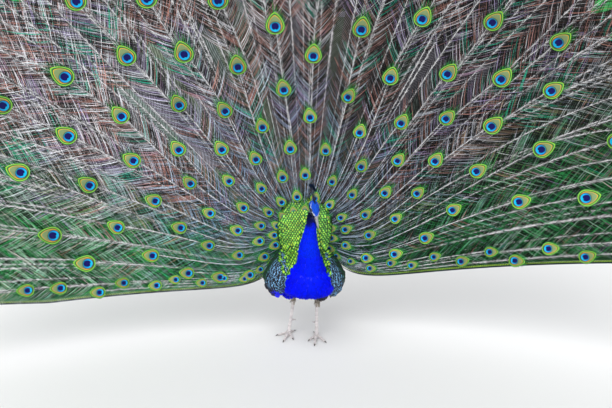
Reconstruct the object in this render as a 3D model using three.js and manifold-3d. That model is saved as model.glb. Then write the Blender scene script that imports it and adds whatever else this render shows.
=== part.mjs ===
// A life-size Indian peacock in full display, standing on both feet with the train raised.
// Millimetres, +Z up. The bird faces -Y, so +X is its own left side. Everything is laid out
// about the floor point midway between the feet, and the last lines move the origin to the
// floor under the middle of the whole bird.
import * as THREE from 'three';
import { mergeVertices } from 'three/addons/utils/BufferGeometryUtils.js';
import Module from 'manifold-3d';

const wasm = await Module();
wasm.setup();

// ---------- driving dimensions ----------
const GAP = 0.3; // clearance between neighbouring bodies
const BODY_X = 6; // how far the trunk's middle stands from the middle of the feet

const TRUNK_SIDES = 18;
const NECK_SIDES = 14;
const HEAD_CENTRE = [41, -132, 579];
const HEAD_PITCH = 45; // degrees that the bill points below the horizon
const HEAD_YAW = 16; // degrees that it points toward the bird's left
const NECK_CUT_Z = 398; // where the neck is parted from the trunk
const HEAD_CUT_BACK = 15; // where the head is parted from the neck, behind its centre
const BILL_ROOT = 33; // from the head's centre to the root of the bill
const BILL_LENGTH = 43;
const BILL_HALF_WIDTH = 7.2;
const BILL_DEPTH = 8.2;
const GAPE_BELOW = 3; // the mouth line, under the head's axis
const EYE_RADIUS = 6.4;
const EYE_OFFSET = { forward: 9, side: 13.6, up: 3.5 };

const CREST_HEIGHT = 72;
const CREST_BASE_HALF = 7; // half its front-to-back breadth on the crown
const CREST_TIP_HALF = 33; // and across the tips of its plumes
const CREST_LEAN = 6.5; // degrees toward the bird's right

const WING_REACH = 153; // outermost point of a folded wing from the trunk's middle
const WING_LEAN = 0.35; // how far its upper edge leans in over the back
const PRIMARY_THICKNESS = 7;

const LEGS = {
  left: {
    side: 1,
    knee: [72, -15, 238],
    hock: [54, 45, 140],
    ankle: [54, 30, 15],
    toes: { outer: [38, -61], middle: [-10, -84], inner: [-36, -48], hind: [-14, 32] },
    spur: [-20, 11, -3],
  },
  right: {
    side: -1,
    knee: [-58, 5, 238],
    hock: [-36, 67, 140],
    ankle: [-56, 52, 15],
    toes: { outer: [-54, -26], middle: [-22, -79], inner: [20, -60], hind: [29, 22] },
    spur: [24, 9, -3],
  },
};
const SHANK_HALF_WIDTH = 6;
const SHANK_HALF_DEPTH = 7.2;
const HOCK_HALF = 9.6;
const SPUR_HEIGHT = 57; // of the spur's root above the floor
const SPUR_TAPER = [[0, 0], [0.1, 4.6], [0.5, 3.4], [0.85, 1.6], [1, 0]]; // share of its length, radius
const TOE_ROOT_RADIUS = 6.8;
const TOE_TIP_RADIUS = 4.6;
const TOE_STATIONS = [-0.12, -0.05, 0.2, 0.45, 0.7, 0.93, 1]; // shares of the toe's reach
const TOE_FLAT = 1.3; // how much of its underside the floor takes off
const TOE_ROOT_RISE = 4; // slope of the toe's root up to the ankle
const FOOT_PAD_HEIGHT = 9;
const FOOT_PAD_RADIUS = 11;
const CLAW_LENGTH = 13;
const CLAW_RADIUS = 3;
const CLAW_STATIONS = [0, 0.1, 0.45, 0.8, 1]; // shares of the claw's length
const CLAW_HEIGHT = { root: 4.6, rise: 0.8, curl: 4.2 };
const CLAW_TUCK = 0.7; // share of the claw that lies beyond the flesh of the toe

const HUB = new THREE.Vector3(0, 105, 400); // where the feathers of the train spread from
const TRAIN_RADIUS = 1380;
const TRAIN_DISH = 400; // how far its rim comes forward of the hub
const TRAIN_ROLL = 4.7; // degrees: the bird's right edge hangs lower
const TRAIN_ROOT_RADIUS = 92;
const TRAIN_SECTORS = 11;
const TIPS_PER_SECTOR = 3; // fish-tailed feathers on the rim of each sector
const TRAIN_THICKNESS = 1.6;
const RIM_NOTCH = 34; // depth of the fork in each fish-tailed feather
const EDGE_DROP = 224; // how far the lowest feathers lie under the hub at its middle
const EDGE_RISE = 0.115; // and how fast they rise on the way out
const EDGE_LIMIT = 44; // degrees: the furthest that any root turns below level
const WING_CLEAR_X = 130; // the lowest feathers pass outside the folded wings

const TAIL_RADIUS = 450;
const TAIL_ROOT_RADIUS = 108;
const TAIL_BEHIND = 17; // the stiff tail feathers stand this far behind the train
const TAIL_FEATHERS = 18;
const TAIL_THICKNESS = 2;
const TAIL_EDGE = 8; // degrees that the tail spreads below level
const TAIL_TIP_ROUND = 16;

const COLOUR = {
  blue: 0x0a1fd0,
  crown: 0x1566d8,
  horn: 0x9c9a90,
  eye: 0x1c0f08,
  crest: 0x08102c,
  scale: 0x7da324,
  rump: 0x6f8a2c,
  barred: 0x8f8c84,
  rufous: 0x9a5a2c,
  thigh: 0xa08a6a,
  shank: 0x9b9491,
  claw: 0x3a3430,
  down: 0x8f857a,
  tail: 0x6b5136,
  train: 0x6f7350,
};

// ---------- shapes ----------
const radians = THREE.MathUtils.degToRad;
const X = new THREE.Vector3(1, 0, 0);
const Y = new THREE.Vector3(0, 1, 0);
const Z = new THREE.Vector3(0, 0, 1);

/** A closed body from a point, a stack of rings with the same number of points, and a point. */
function closedBody(first, rings, last) {
  const sides = rings[0].length;
  const positions = [...first];
  for (const ring of rings) for (const point of ring) positions.push(...point);
  positions.push(...last);
  const end = 1 + rings.length * sides;
  const at = (row, column) => 1 + row * sides + (column % sides);
  const index = [];
  for (let column = 0; column < sides; column++) {
    index.push(0, at(0, column + 1), at(0, column));
    for (let row = 0; row + 1 < rings.length; row++) {
      const [a, b] = [at(row, column), at(row, column + 1)];
      const [c, d] = [at(row + 1, column), at(row + 1, column + 1)];
      index.push(a, b, d, a, d, c);
    }
    index.push(end, at(rings.length - 1, column), at(rings.length - 1, column + 1));
  }
  return facingOut(positions, index);
}

/** A geometry from shared points, turned over if its faces point in. */
function facingOut(positions, index) {
  const corner = (i) => new THREE.Vector3().fromArray(positions, 3 * index[i]);
  let volume = 0;
  for (let i = 0; i < index.length; i += 3) {
    volume += corner(i).dot(corner(i + 1).cross(corner(i + 2)));
  }
  if (volume < 0) index.reverse();
  const geometry = new THREE.BufferGeometry();
  geometry.setAttribute('position', new THREE.Float32BufferAttribute(positions, 3));
  geometry.setIndex(index);
  return geometry;
}

/**
 * A body lofted along frame.along. Each row of stations is [distance, right, up, half width,
 * half height over the line, half height under it]; the first and last rows are its two ends.
 * squareness above 2 fills the corners of the lower half, lean slides the upper half sideways
 * as it rises, and grow thickens the body all round.
 */
function loft(frame, stations, { sides = 16, steps = 2, squareness = 2, lean = 0, grow = 0 } = {}) {
  const rows = stations.map((_, i) => i);
  const smooth = new THREE.CubicInterpolant(rows, stations.flat(), stations[0].length);
  const place = (right, up, along) => frame.origin.clone()
    .addScaledVector(frame.right, right)
    .addScaledVector(frame.up, up)
    .addScaledVector(frame.along, along)
    .toArray();
  const rings = [];
  for (let k = 1; k < (rows.length - 1) * steps; k++) {
    const [along, right, up, wide, over, under] = smooth.evaluate(k / steps);
    const ring = [];
    for (let i = 0; i < sides; i++) {
      const angle = (2 * Math.PI * i) / sides;
      const [c, s] = [Math.cos(angle), Math.sin(angle)];
      const power = s < 0 ? 2 / squareness : 1;
      const out = Math.sign(c) * Math.abs(c) ** power * (Math.max(wide, 1) + grow);
      const rise = Math.sign(s) * Math.abs(s) ** power * (Math.max(s > 0 ? over : under, 1) + grow);
      ring.push(place(right + out + lean * Math.max(rise, 0), up + rise, along));
    }
    rings.push(ring);
  }
  const direction = Math.sign(stations.at(-1)[0] - stations[0][0]);
  const tip = ([along, right, up], sign) => place(right, up, along + sign * direction * grow);
  return closedBody(tip(stations[0], -1), rings, tip(stations.at(-1), 1));
}

const frameOf = (origin, right, up, along) => ({
  origin: new THREE.Vector3(...origin), right, up, along,
});

/** A frame whose long axis runs from one point to another, with its width level. */
function frameBetween(from, to) {
  const origin = new THREE.Vector3(...from);
  const along = new THREE.Vector3(...to).sub(origin).normalize();
  const right = new THREE.Vector3().crossVectors(along, Math.abs(along.z) > 0.9 ? Y : Z).normalize();
  const up = new THREE.Vector3().crossVectors(right, along);
  return { origin, right, up, along, length: new THREE.Vector3(...to).distanceTo(origin) };
}

function solidOf(geometry) {
  const bare = new THREE.BufferGeometry();
  bare.setAttribute('position', geometry.getAttribute('position'));
  bare.setIndex(geometry.getIndex());
  const merged = mergeVertices(bare);
  return new wasm.Manifold(new wasm.Mesh({
    numProp: 3,
    vertProperties: Float32Array.from(merged.getAttribute('position').array),
    triVerts: Uint32Array.from(merged.getIndex().array),
  }));
}

function geometryOf(solid) {
  const mesh = solid.getMesh();
  const geometry = new THREE.BufferGeometry();
  geometry.setAttribute('position', new THREE.Float32BufferAttribute(mesh.vertProperties, 3));
  geometry.setIndex(Array.from(mesh.triVerts));
  return geometry;
}

/** What is left of a solid once others are taken from it, without the crumbs that come loose. */
function cut(solid, ...others) {
  const left = others.reduce((rest, other) => rest.subtract(other), solid);
  return left.decompose().sort((a, b) => b.volume() - a.volume())[0];
}

/** Half of all space as a big box: the side of the plane that its normal points to. */
function halfSpace(point, normal) {
  const size = 3000;
  const box = new THREE.BoxGeometry(size, size, size);
  box.translate(0, 0, size / 2);
  box.applyQuaternion(new THREE.Quaternion().setFromUnitVectors(Z, normal));
  box.translate(point.x, point.y, point.z);
  return solidOf(box);
}

// ---------- trunk, neck and head ----------
const TRUNK_FRAME = frameOf([0, 0, 0], X, Z, Y);
const TRUNK_STATIONS = [
  // y, middle x, middle z, half width, height over it, depth under it
  [-151, 24, 274, 0, 0, 0],
  [-139, 23, 270, 50, 44, 28],
  [-110, 21, 264, 86, 78, 36],
  [-70, 17, 259, 100, 116, 47],
  [-30, 12, 263, 107, 124, 51],
  [10, 8, 272, 110, 120, 56],
  [60, 5, 290, 102, 105, 57],
  [110, 3, 312, 82, 80, 54],
  [155, 1, 332, 54, 48, 42],
  [186, 0, 344, 24, 20, 18],
  [196, 0, 346, 0, 0, 0],
];
const NECK_FRAME = frameOf([0, 0, 0], X, Y, Z);
const NECK_STATIONS = [
  // z, middle x, middle y, half width, half depth behind, half depth in front
  [244, 24, -60, 0, 0, 0],
  [265, 24, -60, 78, 60, 66],
  [300, 25, -66, 72, 60, 66],
  [332, 24, -72, 60, 54, 58],
  [366, 23, -78, 49, 46, 49],
  [410, 22.5, -86, 39.5, 38, 40],
  [450, 22.7, -93, 31, 31, 32],
  [486, 27, -99, 24, 25, 26],
  [522, 31.5, -106, 20, 22, 21],
  [556, 36, -114, 18, 20, 19],
  [580, 39, -122, 0, 0, 0],
];

const headTurn = new THREE.Quaternion().setFromEuler(
  new THREE.Euler(radians(HEAD_PITCH), 0, radians(HEAD_YAW), 'ZXY'),
);
const HEAD = {
  origin: new THREE.Vector3(...HEAD_CENTRE),
  right: X.clone().applyQuaternion(headTurn),
  up: Z.clone().applyQuaternion(headTurn),
  along: Y.clone().negate().applyQuaternion(headTurn),
};
const HEAD_STATIONS = [
  // toward the bill, sideways, up, half width, height over it, depth under it
  [-31, 0, 1, 0, 0, 0],
  [-27, 0, 1, 11, 11, 11],
  [-15, 0, 1, 17.6, 19, 19],
  [0, 0, 0, 19.4, 22, 21],
  [12, 0, -1, 18.2, 19.5, 18],
  [24, 0, -2.5, 13.6, 14, 13],
  [33, 0, -3, 9.6, 9.6, 9.6],
  [39, 0, -3, 7.2, 7, 7],
  [41, 0, -3, 0, 0, 0],
];
const headPoint = (forward, side, up) => HEAD.origin.clone()
  .addScaledVector(HEAD.along, forward)
  .addScaledVector(HEAD.right, side)
  .addScaledVector(HEAD.up, up);

const trunkShape = (grow) => solidOf(
  loft(TRUNK_FRAME, TRUNK_STATIONS, { sides: TRUNK_SIDES, squareness: 2.7, grow }),
);
const neckShape = (grow) => solidOf(loft(NECK_FRAME, NECK_STATIONS, { sides: NECK_SIDES, grow }));
const headShape = (grow) => solidOf(loft(HEAD, HEAD_STATIONS, { sides: 12, steps: 2, grow }));
const bodyShape = (grow) => trunkShape(grow).add(neckShape(grow));

/** Half of the bill: a tapered blade that droops to its tip, the upper one a little longer. */
function billShape(part, grow) {
  const upper = part === 'upper';
  const length = upper ? BILL_LENGTH : BILL_LENGTH - 8;
  const [over, under] = upper ? [BILL_DEPTH, 1] : [1, BILL_DEPTH * 0.8];
  const buried = 6; // of its root, inside the face
  const stations = [0, 0.02, 0.35, 0.7, 0.93, 1].map((t) => {
    const slim = t === 0 || t === 1 ? 0 : 1 - 0.82 * t ** 1.4;
    const hook = 4.5 * t ** 3;
    return [
      BILL_ROOT - buried + t * (length + buried), 0, -GAPE_BELOW - hook,
      BILL_HALF_WIDTH * slim, over * slim, under * slim,
    ];
  });
  return solidOf(loft(HEAD, stations, { sides: 10, steps: 1, grow }));
}

function eyeShape(side, grow) {
  const eye = new THREE.IcosahedronGeometry(EYE_RADIUS + grow, 1);
  const place = headPoint(EYE_OFFSET.forward, side * EYE_OFFSET.side, EYE_OFFSET.up);
  eye.translate(place.x, place.y, place.z);
  return solidOf(eye);
}

/** The crest: an upright fan in the plane of the bill, thicker across the tips of its plumes. */
function crestShape() {
  const lean = new THREE.Quaternion().setFromAxisAngle(Y, -radians(CREST_LEAN));
  const level = new THREE.Vector3(HEAD.along.x, HEAD.along.y, 0).normalize();
  const frame = {
    origin: headPoint(-9, 0, 13),
    right: level.clone(),
    up: new THREE.Vector3().crossVectors(Z, level),
    along: Z.clone().applyQuaternion(lean),
  };
  const widths = [0, 0.1, 0.4, 0.72, 0.9, 0.98, 1];
  const stations = widths.map((t) => {
    const end = t === 0 || t === 1 ? 0 : 1;
    const half = THREE.MathUtils.lerp(CREST_BASE_HALF, CREST_TIP_HALF, t ** 1.1);
    const close = t > 0.95 ? 0.8 : 1;
    const thick = 2.4 + 4.6 * THREE.MathUtils.smoothstep(t, 0.5, 0.85);
    return [t * CREST_HEIGHT + 4, -6 * t, 0, end * close * half, end * thick, end * thick];
  });
  return solidOf(loft(frame, stations, { sides: 10, steps: 1 }));
}

// ---------- back, rump and vent ----------
const MANTLE_STATIONS = [
  // z, middle x, middle y, half width, depth behind, depth in front
  [290, 8, 22, 0, 0, 0],
  [306, 8, 22, 68, 38, 38],
  [345, 8, 26, 80, 42, 42],
  [392, 7, 38, 94, 42, 42],
  [440, 6, 54, 99, 36, 36],
  [490, 5, 69, 86, 26, 26],
  [526, 4, 81, 60, 16, 16],
  [541, 4, 87, 28, 8, 8],
  [547, 4, 89, 0, 0, 0],
];
const RUMP_STATIONS = [
  // z, middle x, middle y, half width, depth behind, depth in front
  [296, 2, 110, 0, 0, 0],
  [312, 2, 110, 44, 22, 22],
  [350, 2, 110, 82, 34, 34],
  [405, 1, 110, 102, 38, 38],
  [460, 0, 108, 94, 32, 32],
  [500, 0, 105, 62, 20, 20],
  [516, 0, 103, 0, 0, 0],
];
const VENT_STATIONS = [
  // z, middle x, middle y, half width, depth behind, depth in front
  [272, 1, 150, 0, 0, 0],
  [284, 1, 152, 34, 26, 26],
  [318, 1, 160, 56, 46, 46],
  [362, 0, 162, 62, 46, 46],
  [404, 0, 150, 56, 30, 30],
  [440, 0, 136, 34, 14, 14],
  [452, 0, 132, 0, 0, 0],
];
const UPRIGHT = NECK_FRAME;
const mantleShape = (grow) => solidOf(loft(UPRIGHT, MANTLE_STATIONS, { sides: 18, grow }));
const rumpShape = (grow) => solidOf(loft(UPRIGHT, RUMP_STATIONS, { sides: 16, grow }));
const ventShape = (grow) => solidOf(loft(UPRIGHT, VENT_STATIONS, { sides: 12, steps: 1, grow }));

// ---------- wings ----------
/** A folded wing: a long pad against the trunk, fullest at the bend and thin toward the tip. */
function wingShape(side, grow) {
  const thick = 43;
  const middle = WING_REACH - thick;
  const stations = [
    // y, out from the trunk's middle, middle z, half thickness, height over it, depth under it
    [-100, middle - 22, 288, 0, 0, 0],
    [-90, middle - 21, 286, 17, 36, 34],
    [-62, middle - 9, 280, 33, 66, 62],
    [-20, middle, 278, thick, 80, 73],
    [30, middle, 286, 37, 72, 68],
    [90, middle - 14, 300, 26, 55, 55],
    [150, middle - 32, 302, 16, 38, 40],
    [202, middle - 44, 294, 9, 24, 24],
    [232, middle - 50, 284, 0, 0, 0],
  ];
  const mirrored = stations.map(([y, out, ...rest]) => [y, BODY_X + side * out, ...rest]);
  return solidOf(loft(TRUNK_FRAME, mirrored, { sides: 12, lean: -side * WING_LEAN, grow }));
}

/** The bundled flight feathers under a folded wing, drooping behind the leg. */
function primariesShape(side) {
  const half = PRIMARY_THICKNESS / 2;
  const stations = [
    // y, out from the trunk's middle, middle z, half thickness, height over it, depth under it
    [5, 112, 236, 0, 0, 0],
    [20, 111, 234, half, 26, 20],
    [80, 106, 222, half, 34, 26],
    [150, 96, 202, half, 27, 24],
    [205, 86, 184, half * 0.7, 16, 15],
    [228, 81, 175, 0, 0, 0],
  ].map(([y, out, ...rest]) => [y, BODY_X + side * out, ...rest]);
  return solidOf(loft(TRUNK_FRAME, stations, { sides: 8 }));
}

// ---------- legs and feet ----------
/** The feathered upper leg, tapering from inside the flank to just above the hock. */
function thighShape({ knee, hock }, grow) {
  const frame = frameBetween(knee, hock);
  const taper = [[0, 0], [0.08, 34], [0.35, 36], [0.58, 25], [0.76, 15], [0.9, 10.5], [0.97, 8], [1, 0]];
  const stations = taper.map(([t, r]) => [t * frame.length, 0, 0, r, r * 1.1, r * 1.1]);
  return solidOf(loft(frame, stations, { sides: 14, steps: 1, grow }));
}

/** The bare shank, from the knob of the hock down to the foot. */
function shankShape({ hock, ankle }, grow) {
  const top = new THREE.Vector3(...hock).add(new THREE.Vector3(0, 0, 10));
  const frame = frameBetween(top.toArray(), ankle);
  const profile = [
    // share of the length, width and depth against the shank's own
    [0, 0, 0],
    [0.04, 1.1, 1.05],
    [0.11, HOCK_HALF / SHANK_HALF_WIDTH, HOCK_HALF / SHANK_HALF_DEPTH],
    [0.22, 1.15, 1.1],
    [0.45, 0.95, 0.95],
    [0.75, 1, 1],
    [0.92, 1.3, 1.2],
    [0.98, 1.1, 1],
    [1, 0, 0],
  ];
  const stations = profile.map(([t, wide, deep]) => [
    t * frame.length, 0, 0, wide * SHANK_HALF_WIDTH, deep * SHANK_HALF_DEPTH, deep * SHANK_HALF_DEPTH,
  ]);
  return solidOf(loft(frame, stations, { sides: 10, steps: 1, grow }));
}

function spurShape({ ankle, hock, spur }) {
  const t = (SPUR_HEIGHT - ankle[2]) / (hock[2] - ankle[2]);
  const root = new THREE.Vector3(...ankle).lerp(new THREE.Vector3(...hock), t);
  const frame = frameBetween(root.toArray(), root.clone().add(new THREE.Vector3(...spur)).toArray());
  const stations = SPUR_TAPER.map(([along, radius]) => [
    along * frame.length, 0, 0, radius, radius, radius,
  ]);
  return solidOf(loft(frame, stations, { sides: 8, steps: 1 }));
}

/** One toe from the ankle to its last joint, on the floor for most of its length. */
function toeShape(ankle, [dx, dy], grow) {
  const length = Math.hypot(dx, dy);
  const away = new THREE.Vector3(dx / length, dy / length, 0);
  const reach = length - CLAW_LENGTH * CLAW_TUCK;
  const frame = {
    origin: new THREE.Vector3(ankle[0], ankle[1], 0),
    right: new THREE.Vector3().crossVectors(away, Z),
    up: Z,
    along: away,
  };
  const stations = TOE_STATIONS.map((t, number) => {
    const end = number === 0 || t === 1 ? 0 : 1;
    const radius = THREE.MathUtils.lerp(TOE_ROOT_RADIUS, TOE_TIP_RADIUS, Math.max(t, 0));
    const lift = radius - TOE_FLAT + TOE_ROOT_RISE * Math.max(0, 0.3 - t);
    return [t * reach, 0, lift, end * radius, end * radius, end * radius];
  });
  return solidOf(loft(frame, stations, { sides: 6, steps: 1, grow }));
}

function footShape({ ankle, toes }, grow) {
  const pad = new THREE.SphereGeometry(FOOT_PAD_RADIUS + grow, 8, 5);
  pad.scale(1, 1.05, 0.95);
  pad.translate(ankle[0], ankle[1], FOOT_PAD_HEIGHT);
  const toeSolids = Object.values(toes).map((toe) => toeShape(ankle, toe, grow));
  const whole = toeSolids.reduce((foot, toe) => foot.add(toe), solidOf(pad));
  return whole.intersect(halfSpace(new THREE.Vector3(), Z));
}

/** A claw that leaves the end of a toe and curves down to just above the floor. */
function clawShape(ankle, [dx, dy]) {
  const length = Math.hypot(dx, dy);
  const away = new THREE.Vector3(dx / length, dy / length, 0);
  const frame = {
    origin: new THREE.Vector3(ankle[0], ankle[1], 0).addScaledVector(away, length - CLAW_LENGTH),
    right: new THREE.Vector3().crossVectors(away, Z),
    up: Z,
    along: away,
  };
  const stations = CLAW_STATIONS.map((t) => {
    const radius = t === 0 || t === 1 ? 0 : CLAW_RADIUS * (1 - 0.75 * t);
    const height = CLAW_HEIGHT.root + CLAW_HEIGHT.rise * t - CLAW_HEIGHT.curl * t ** 2;
    return [t * CLAW_LENGTH, 0, height, radius, radius, radius];
  });
  return solidOf(loft(frame, stations, { sides: 6, steps: 1 }));
}

// ---------- train and tail ----------
/** A point of the raised fan: radius from the hub, share from one lower edge to the other. */
function fanPoint(radius, share, forward) {
  const dip = Math.min((EDGE_DROP - EDGE_RISE * radius) / radius, 1);
  const drop = Math.min(Math.asin(dip), radians(EDGE_LIMIT));
  const angle = Math.PI / 2 - share * (Math.PI / 2 + drop);
  return fanPlace(radius, angle, forward);
}

/** The same from an angle above level. The fan is a shallow dish that opens forward. */
function fanPlace(radius, angle, forward) {
  const rolled = angle + radians(TRAIN_ROLL);
  const dish = TRAIN_DISH * (radius / TRAIN_RADIUS) ** 2;
  return [
    HUB.x + radius * Math.cos(rolled),
    HUB.y - dish - forward,
    HUB.z + radius * Math.sin(rolled),
  ];
}

/** A thin curved plate: corner(u, v, face) gives its points, with u outward and v across. */
function plate(uSteps, vSteps, corner) {
  const positions = [];
  const index = [];
  const row = vSteps + 1;
  const layer = (uSteps + 1) * row;
  for (const face of [0, 1]) {
    for (let u = 0; u <= uSteps; u++) {
      for (let v = 0; v <= vSteps; v++) positions.push(...corner(u / uSteps, v / vSteps, face));
    }
  }
  const quad = (a, b, c, d) => index.push(a, b, c, a, c, d);
  for (let u = 0; u < uSteps; u++) {
    for (let v = 0; v < vSteps; v++) {
      const a = u * row + v;
      quad(a, a + 1, a + row + 1, a + row);
      quad(layer + a + row, layer + a + row + 1, layer + a + 1, layer + a);
    }
    const [low, high] = [u * row, u * row + vSteps];
    quad(low + row, layer + low + row, layer + low, low);
    quad(high, layer + high, layer + high + row, high + row);
  }
  for (let v = 0; v < vSteps; v++) {
    const far = uSteps * row + v;
    quad(v + 1, v, layer + v, layer + v + 1);
    quad(far, far + 1, layer + far + 1, layer + far);
  }
  return facingOut(positions, index);
}

/** The radius at which the feathers leave the rump, wider where they pass the folded wings. */
function rootRadius(angle) {
  const below = Math.max(0, -angle);
  const blend = THREE.MathUtils.smoothstep(below, 0, radians(20));
  return THREE.MathUtils.lerp(TRAIN_ROOT_RADIUS, WING_CLEAR_X / Math.cos(below), blend);
}

/** One sector of the train, ending in a row of forked fish-tail tips. */
function trainShape(sector) {
  const radialSteps = 4;
  const acrossSteps = 2 * TIPS_PER_SECTOR;
  return solidOf(plate(radialSteps, acrossSteps, (u, v, face) => {
    const share = (2 * (sector + v)) / TRAIN_SECTORS - 1;
    const fork = Math.abs(Math.cos(Math.PI * v * TIPS_PER_SECTOR));
    const rim = TRAIN_RADIUS - RIM_NOTCH * (1 - fork);
    const start = rootRadius(Math.PI / 2 - Math.abs(share) * (Math.PI / 2 + radians(EDGE_LIMIT)));
    const radius = THREE.MathUtils.lerp(start, rim, u ** 0.9);
    const inset = (GAP / radius) * (1 - 2 * v) * (2 / Math.PI);
    return fanPoint(radius, share + inset, face * TRAIN_THICKNESS);
  }));
}

/** The short stiff tail behind the train: a fan of round-ended feathers. */
function tailShape() {
  const spread = Math.PI + 2 * radians(TAIL_EDGE);
  return solidOf(plate(2, 2 * TAIL_FEATHERS, (u, v, face) => {
    const angle = v * spread - radians(TAIL_EDGE);
    const round = Math.abs(Math.sin(Math.PI * v * TAIL_FEATHERS));
    const tip = TAIL_RADIUS - TAIL_TIP_ROUND * (1 - round);
    const radius = THREE.MathUtils.lerp(TAIL_ROOT_RADIUS, tip, u);
    return fanPlace(radius, angle, face * TAIL_THICKNESS - TAIL_BEHIND);
  }));
}

// ---------- the bird ----------
const bird = new THREE.Group();

function addPart(name, solid, color, roughness = 0.8) {
  const material = new THREE.MeshStandardMaterial({ color, roughness, metalness: 0 });
  const part = new THREE.Mesh(geometryOf(solid), material);
  part.name = name;
  bird.add(part);
}

const neckTop = headPoint(-HEAD_CUT_BACK, 0, -10);
const neckAxis = new THREE.Vector3(-0.05, -0.25, 1).normalize();
const aboveHeadCut = (shift) => halfSpace(neckTop.clone().addScaledVector(neckAxis, shift), neckAxis);
const neckBase = new THREE.Vector3(0, 0, NECK_CUT_Z);
const whole = bodyShape(0);
const eyes = [eyeShape(1, GAP), eyeShape(-1, GAP)];
const bills = [billShape('upper', 2 * GAP), billShape('lower', 2 * GAP)];

addPart('trunk', cut(whole, halfSpace(neckBase, Z)), COLOUR.blue);
addPart('neck', cut(
  whole.intersect(halfSpace(neckBase.clone().addScaledVector(Z, GAP), Z)),
  headShape(GAP),
  aboveHeadCut(0),
), COLOUR.blue);
addPart('head', cut(headShape(0), ...eyes, ...bills), COLOUR.crown);
addPart('bill_upper', billShape('upper', 0), COLOUR.horn, 0.45);
addPart('bill_lower', cut(billShape('lower', 0), billShape('upper', GAP)), COLOUR.horn, 0.45);
addPart('eye_left', eyeShape(1, 0), COLOUR.eye, 0.1);
addPart('eye_right', eyeShape(-1, 0), COLOUR.eye, 0.1);
addPart('crest', cut(crestShape(), headShape(GAP)), COLOUR.crest);

const fleshGrown = bodyShape(GAP);
const wings = { left: wingShape(1, GAP), right: wingShape(-1, GAP) };
addPart('mantle', cut(mantleShape(0), fleshGrown, wings.left, wings.right), COLOUR.scale);
addPart('rump', cut(rumpShape(0), fleshGrown, mantleShape(GAP), wings.left, wings.right), COLOUR.rump);
addPart('vent', cut(
  ventShape(0), fleshGrown, rumpShape(GAP), mantleShape(GAP), wings.left, wings.right,
), COLOUR.down);

for (const [name, leg] of Object.entries(LEGS)) {
  addPart(`wing_${name}`, cut(wingShape(leg.side, 0), fleshGrown), COLOUR.barred);
  addPart(`primaries_${name}`, cut(primariesShape(leg.side), fleshGrown, wings[name]), COLOUR.rufous);
  addPart(`thigh_${name}`, cut(thighShape(leg, 0), fleshGrown, wings[name]), COLOUR.thigh);
  const footGrown = footShape(leg, GAP);
  addPart(`shank_${name}`, cut(shankShape(leg, 0), thighShape(leg, GAP), footGrown), COLOUR.shank, 0.6);
  addPart(`spur_${name}`, cut(spurShape(leg), shankShape(leg, GAP)), COLOUR.horn, 0.5);
  addPart(`foot_${name}`, footShape(leg, 0), COLOUR.shank, 0.6);
  for (const [toe, vector] of Object.entries(leg.toes)) {
    addPart(`claw_${toe}_${name}`, cut(clawShape(leg.ankle, vector), footGrown), COLOUR.claw, 0.4);
  }
}

addPart('tail', cut(tailShape(), rumpShape(GAP), ventShape(GAP)), COLOUR.tail);
for (let sector = 0; sector < TRAIN_SECTORS; sector++) {
  const name = `train_${String(sector + 1).padStart(2, '0')}`;
  addPart(name, cut(trainShape(sector), rumpShape(GAP), mantleShape(GAP)), COLOUR.train);
}

const bounds = new THREE.Box3().setFromObject(bird);
const middle = bounds.getCenter(new THREE.Vector3());
bird.position.set(-middle.x, -middle.y, -bounds.min.z);

export default bird;
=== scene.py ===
"""An Indian peacock in full display: the looks of the still, life-size model, over its CAD frame.

Metres, +Z up. The bird faces -Y and its own left side is +X. Every coat piece is one modelled
feather, barb or tuft, copied along the lie of the coat and joined in one mesh.
"""

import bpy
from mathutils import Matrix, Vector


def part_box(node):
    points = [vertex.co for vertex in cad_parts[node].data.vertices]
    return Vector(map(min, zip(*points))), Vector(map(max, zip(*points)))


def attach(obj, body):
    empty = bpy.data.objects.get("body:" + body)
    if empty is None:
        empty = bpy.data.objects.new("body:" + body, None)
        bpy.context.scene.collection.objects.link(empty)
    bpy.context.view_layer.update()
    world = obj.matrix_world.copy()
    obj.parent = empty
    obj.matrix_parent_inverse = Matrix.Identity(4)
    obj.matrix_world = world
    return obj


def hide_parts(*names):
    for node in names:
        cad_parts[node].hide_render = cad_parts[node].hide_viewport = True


bl_info = {
    "name": "Peacock in display",
    "version": (1, 0, 0),
    "blender": (4, 5, 0),
    "location": "View3D > Sidebar > Peacock",
    "description": "Builds the skin, coat, train, bare parts and stage of a displaying peacock",
    "category": "Object",
}

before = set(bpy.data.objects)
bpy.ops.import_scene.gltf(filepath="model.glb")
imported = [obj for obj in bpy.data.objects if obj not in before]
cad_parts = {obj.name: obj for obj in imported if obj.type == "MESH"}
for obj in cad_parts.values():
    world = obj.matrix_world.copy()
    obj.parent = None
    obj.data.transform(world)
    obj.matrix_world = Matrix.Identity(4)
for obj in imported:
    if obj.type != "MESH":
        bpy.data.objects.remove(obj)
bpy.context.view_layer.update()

import math

import bpy
import numpy as np
from mathutils import Euler, Vector
from mathutils.bvhtree import BVHTree
from mathutils.kdtree import KDTree

BODY = "root"

# ---------- places worked out from the frame ----------
FEET_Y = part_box("trunk")[0][1] + 0.151  # the point midway between the feet lies this far along Y
MIDDLE_X = 0.006  # the folded body stands this far to the left of the frame's middle

HEAD_PITCH = math.radians(45)
HEAD_YAW = math.radians(16)
HEAD_CENTRE = Vector((0.041, -0.132 + FEET_Y, 0.579))
EYE_PLACE = {"forward": 0.009, "side": 0.0136, "up": 0.0035}
EYE_SET_IN = 0.0012

HUB = np.array((0.0, 0.105 + FEET_Y, 0.400))
TRAIN_RADIUS = 1.380
TRAIN_DISH = 0.400
TRAIN_ROLL = math.radians(4.7)
EDGE_DROP = 0.224
EDGE_RISE = 0.115
EDGE_LIMIT = math.radians(44)
ARCH_MIDDLE, ARCH_HALF, ARCH_RISE = 0.76, 0.22, 0.050  # shares of the fan where the shafts arch

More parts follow.
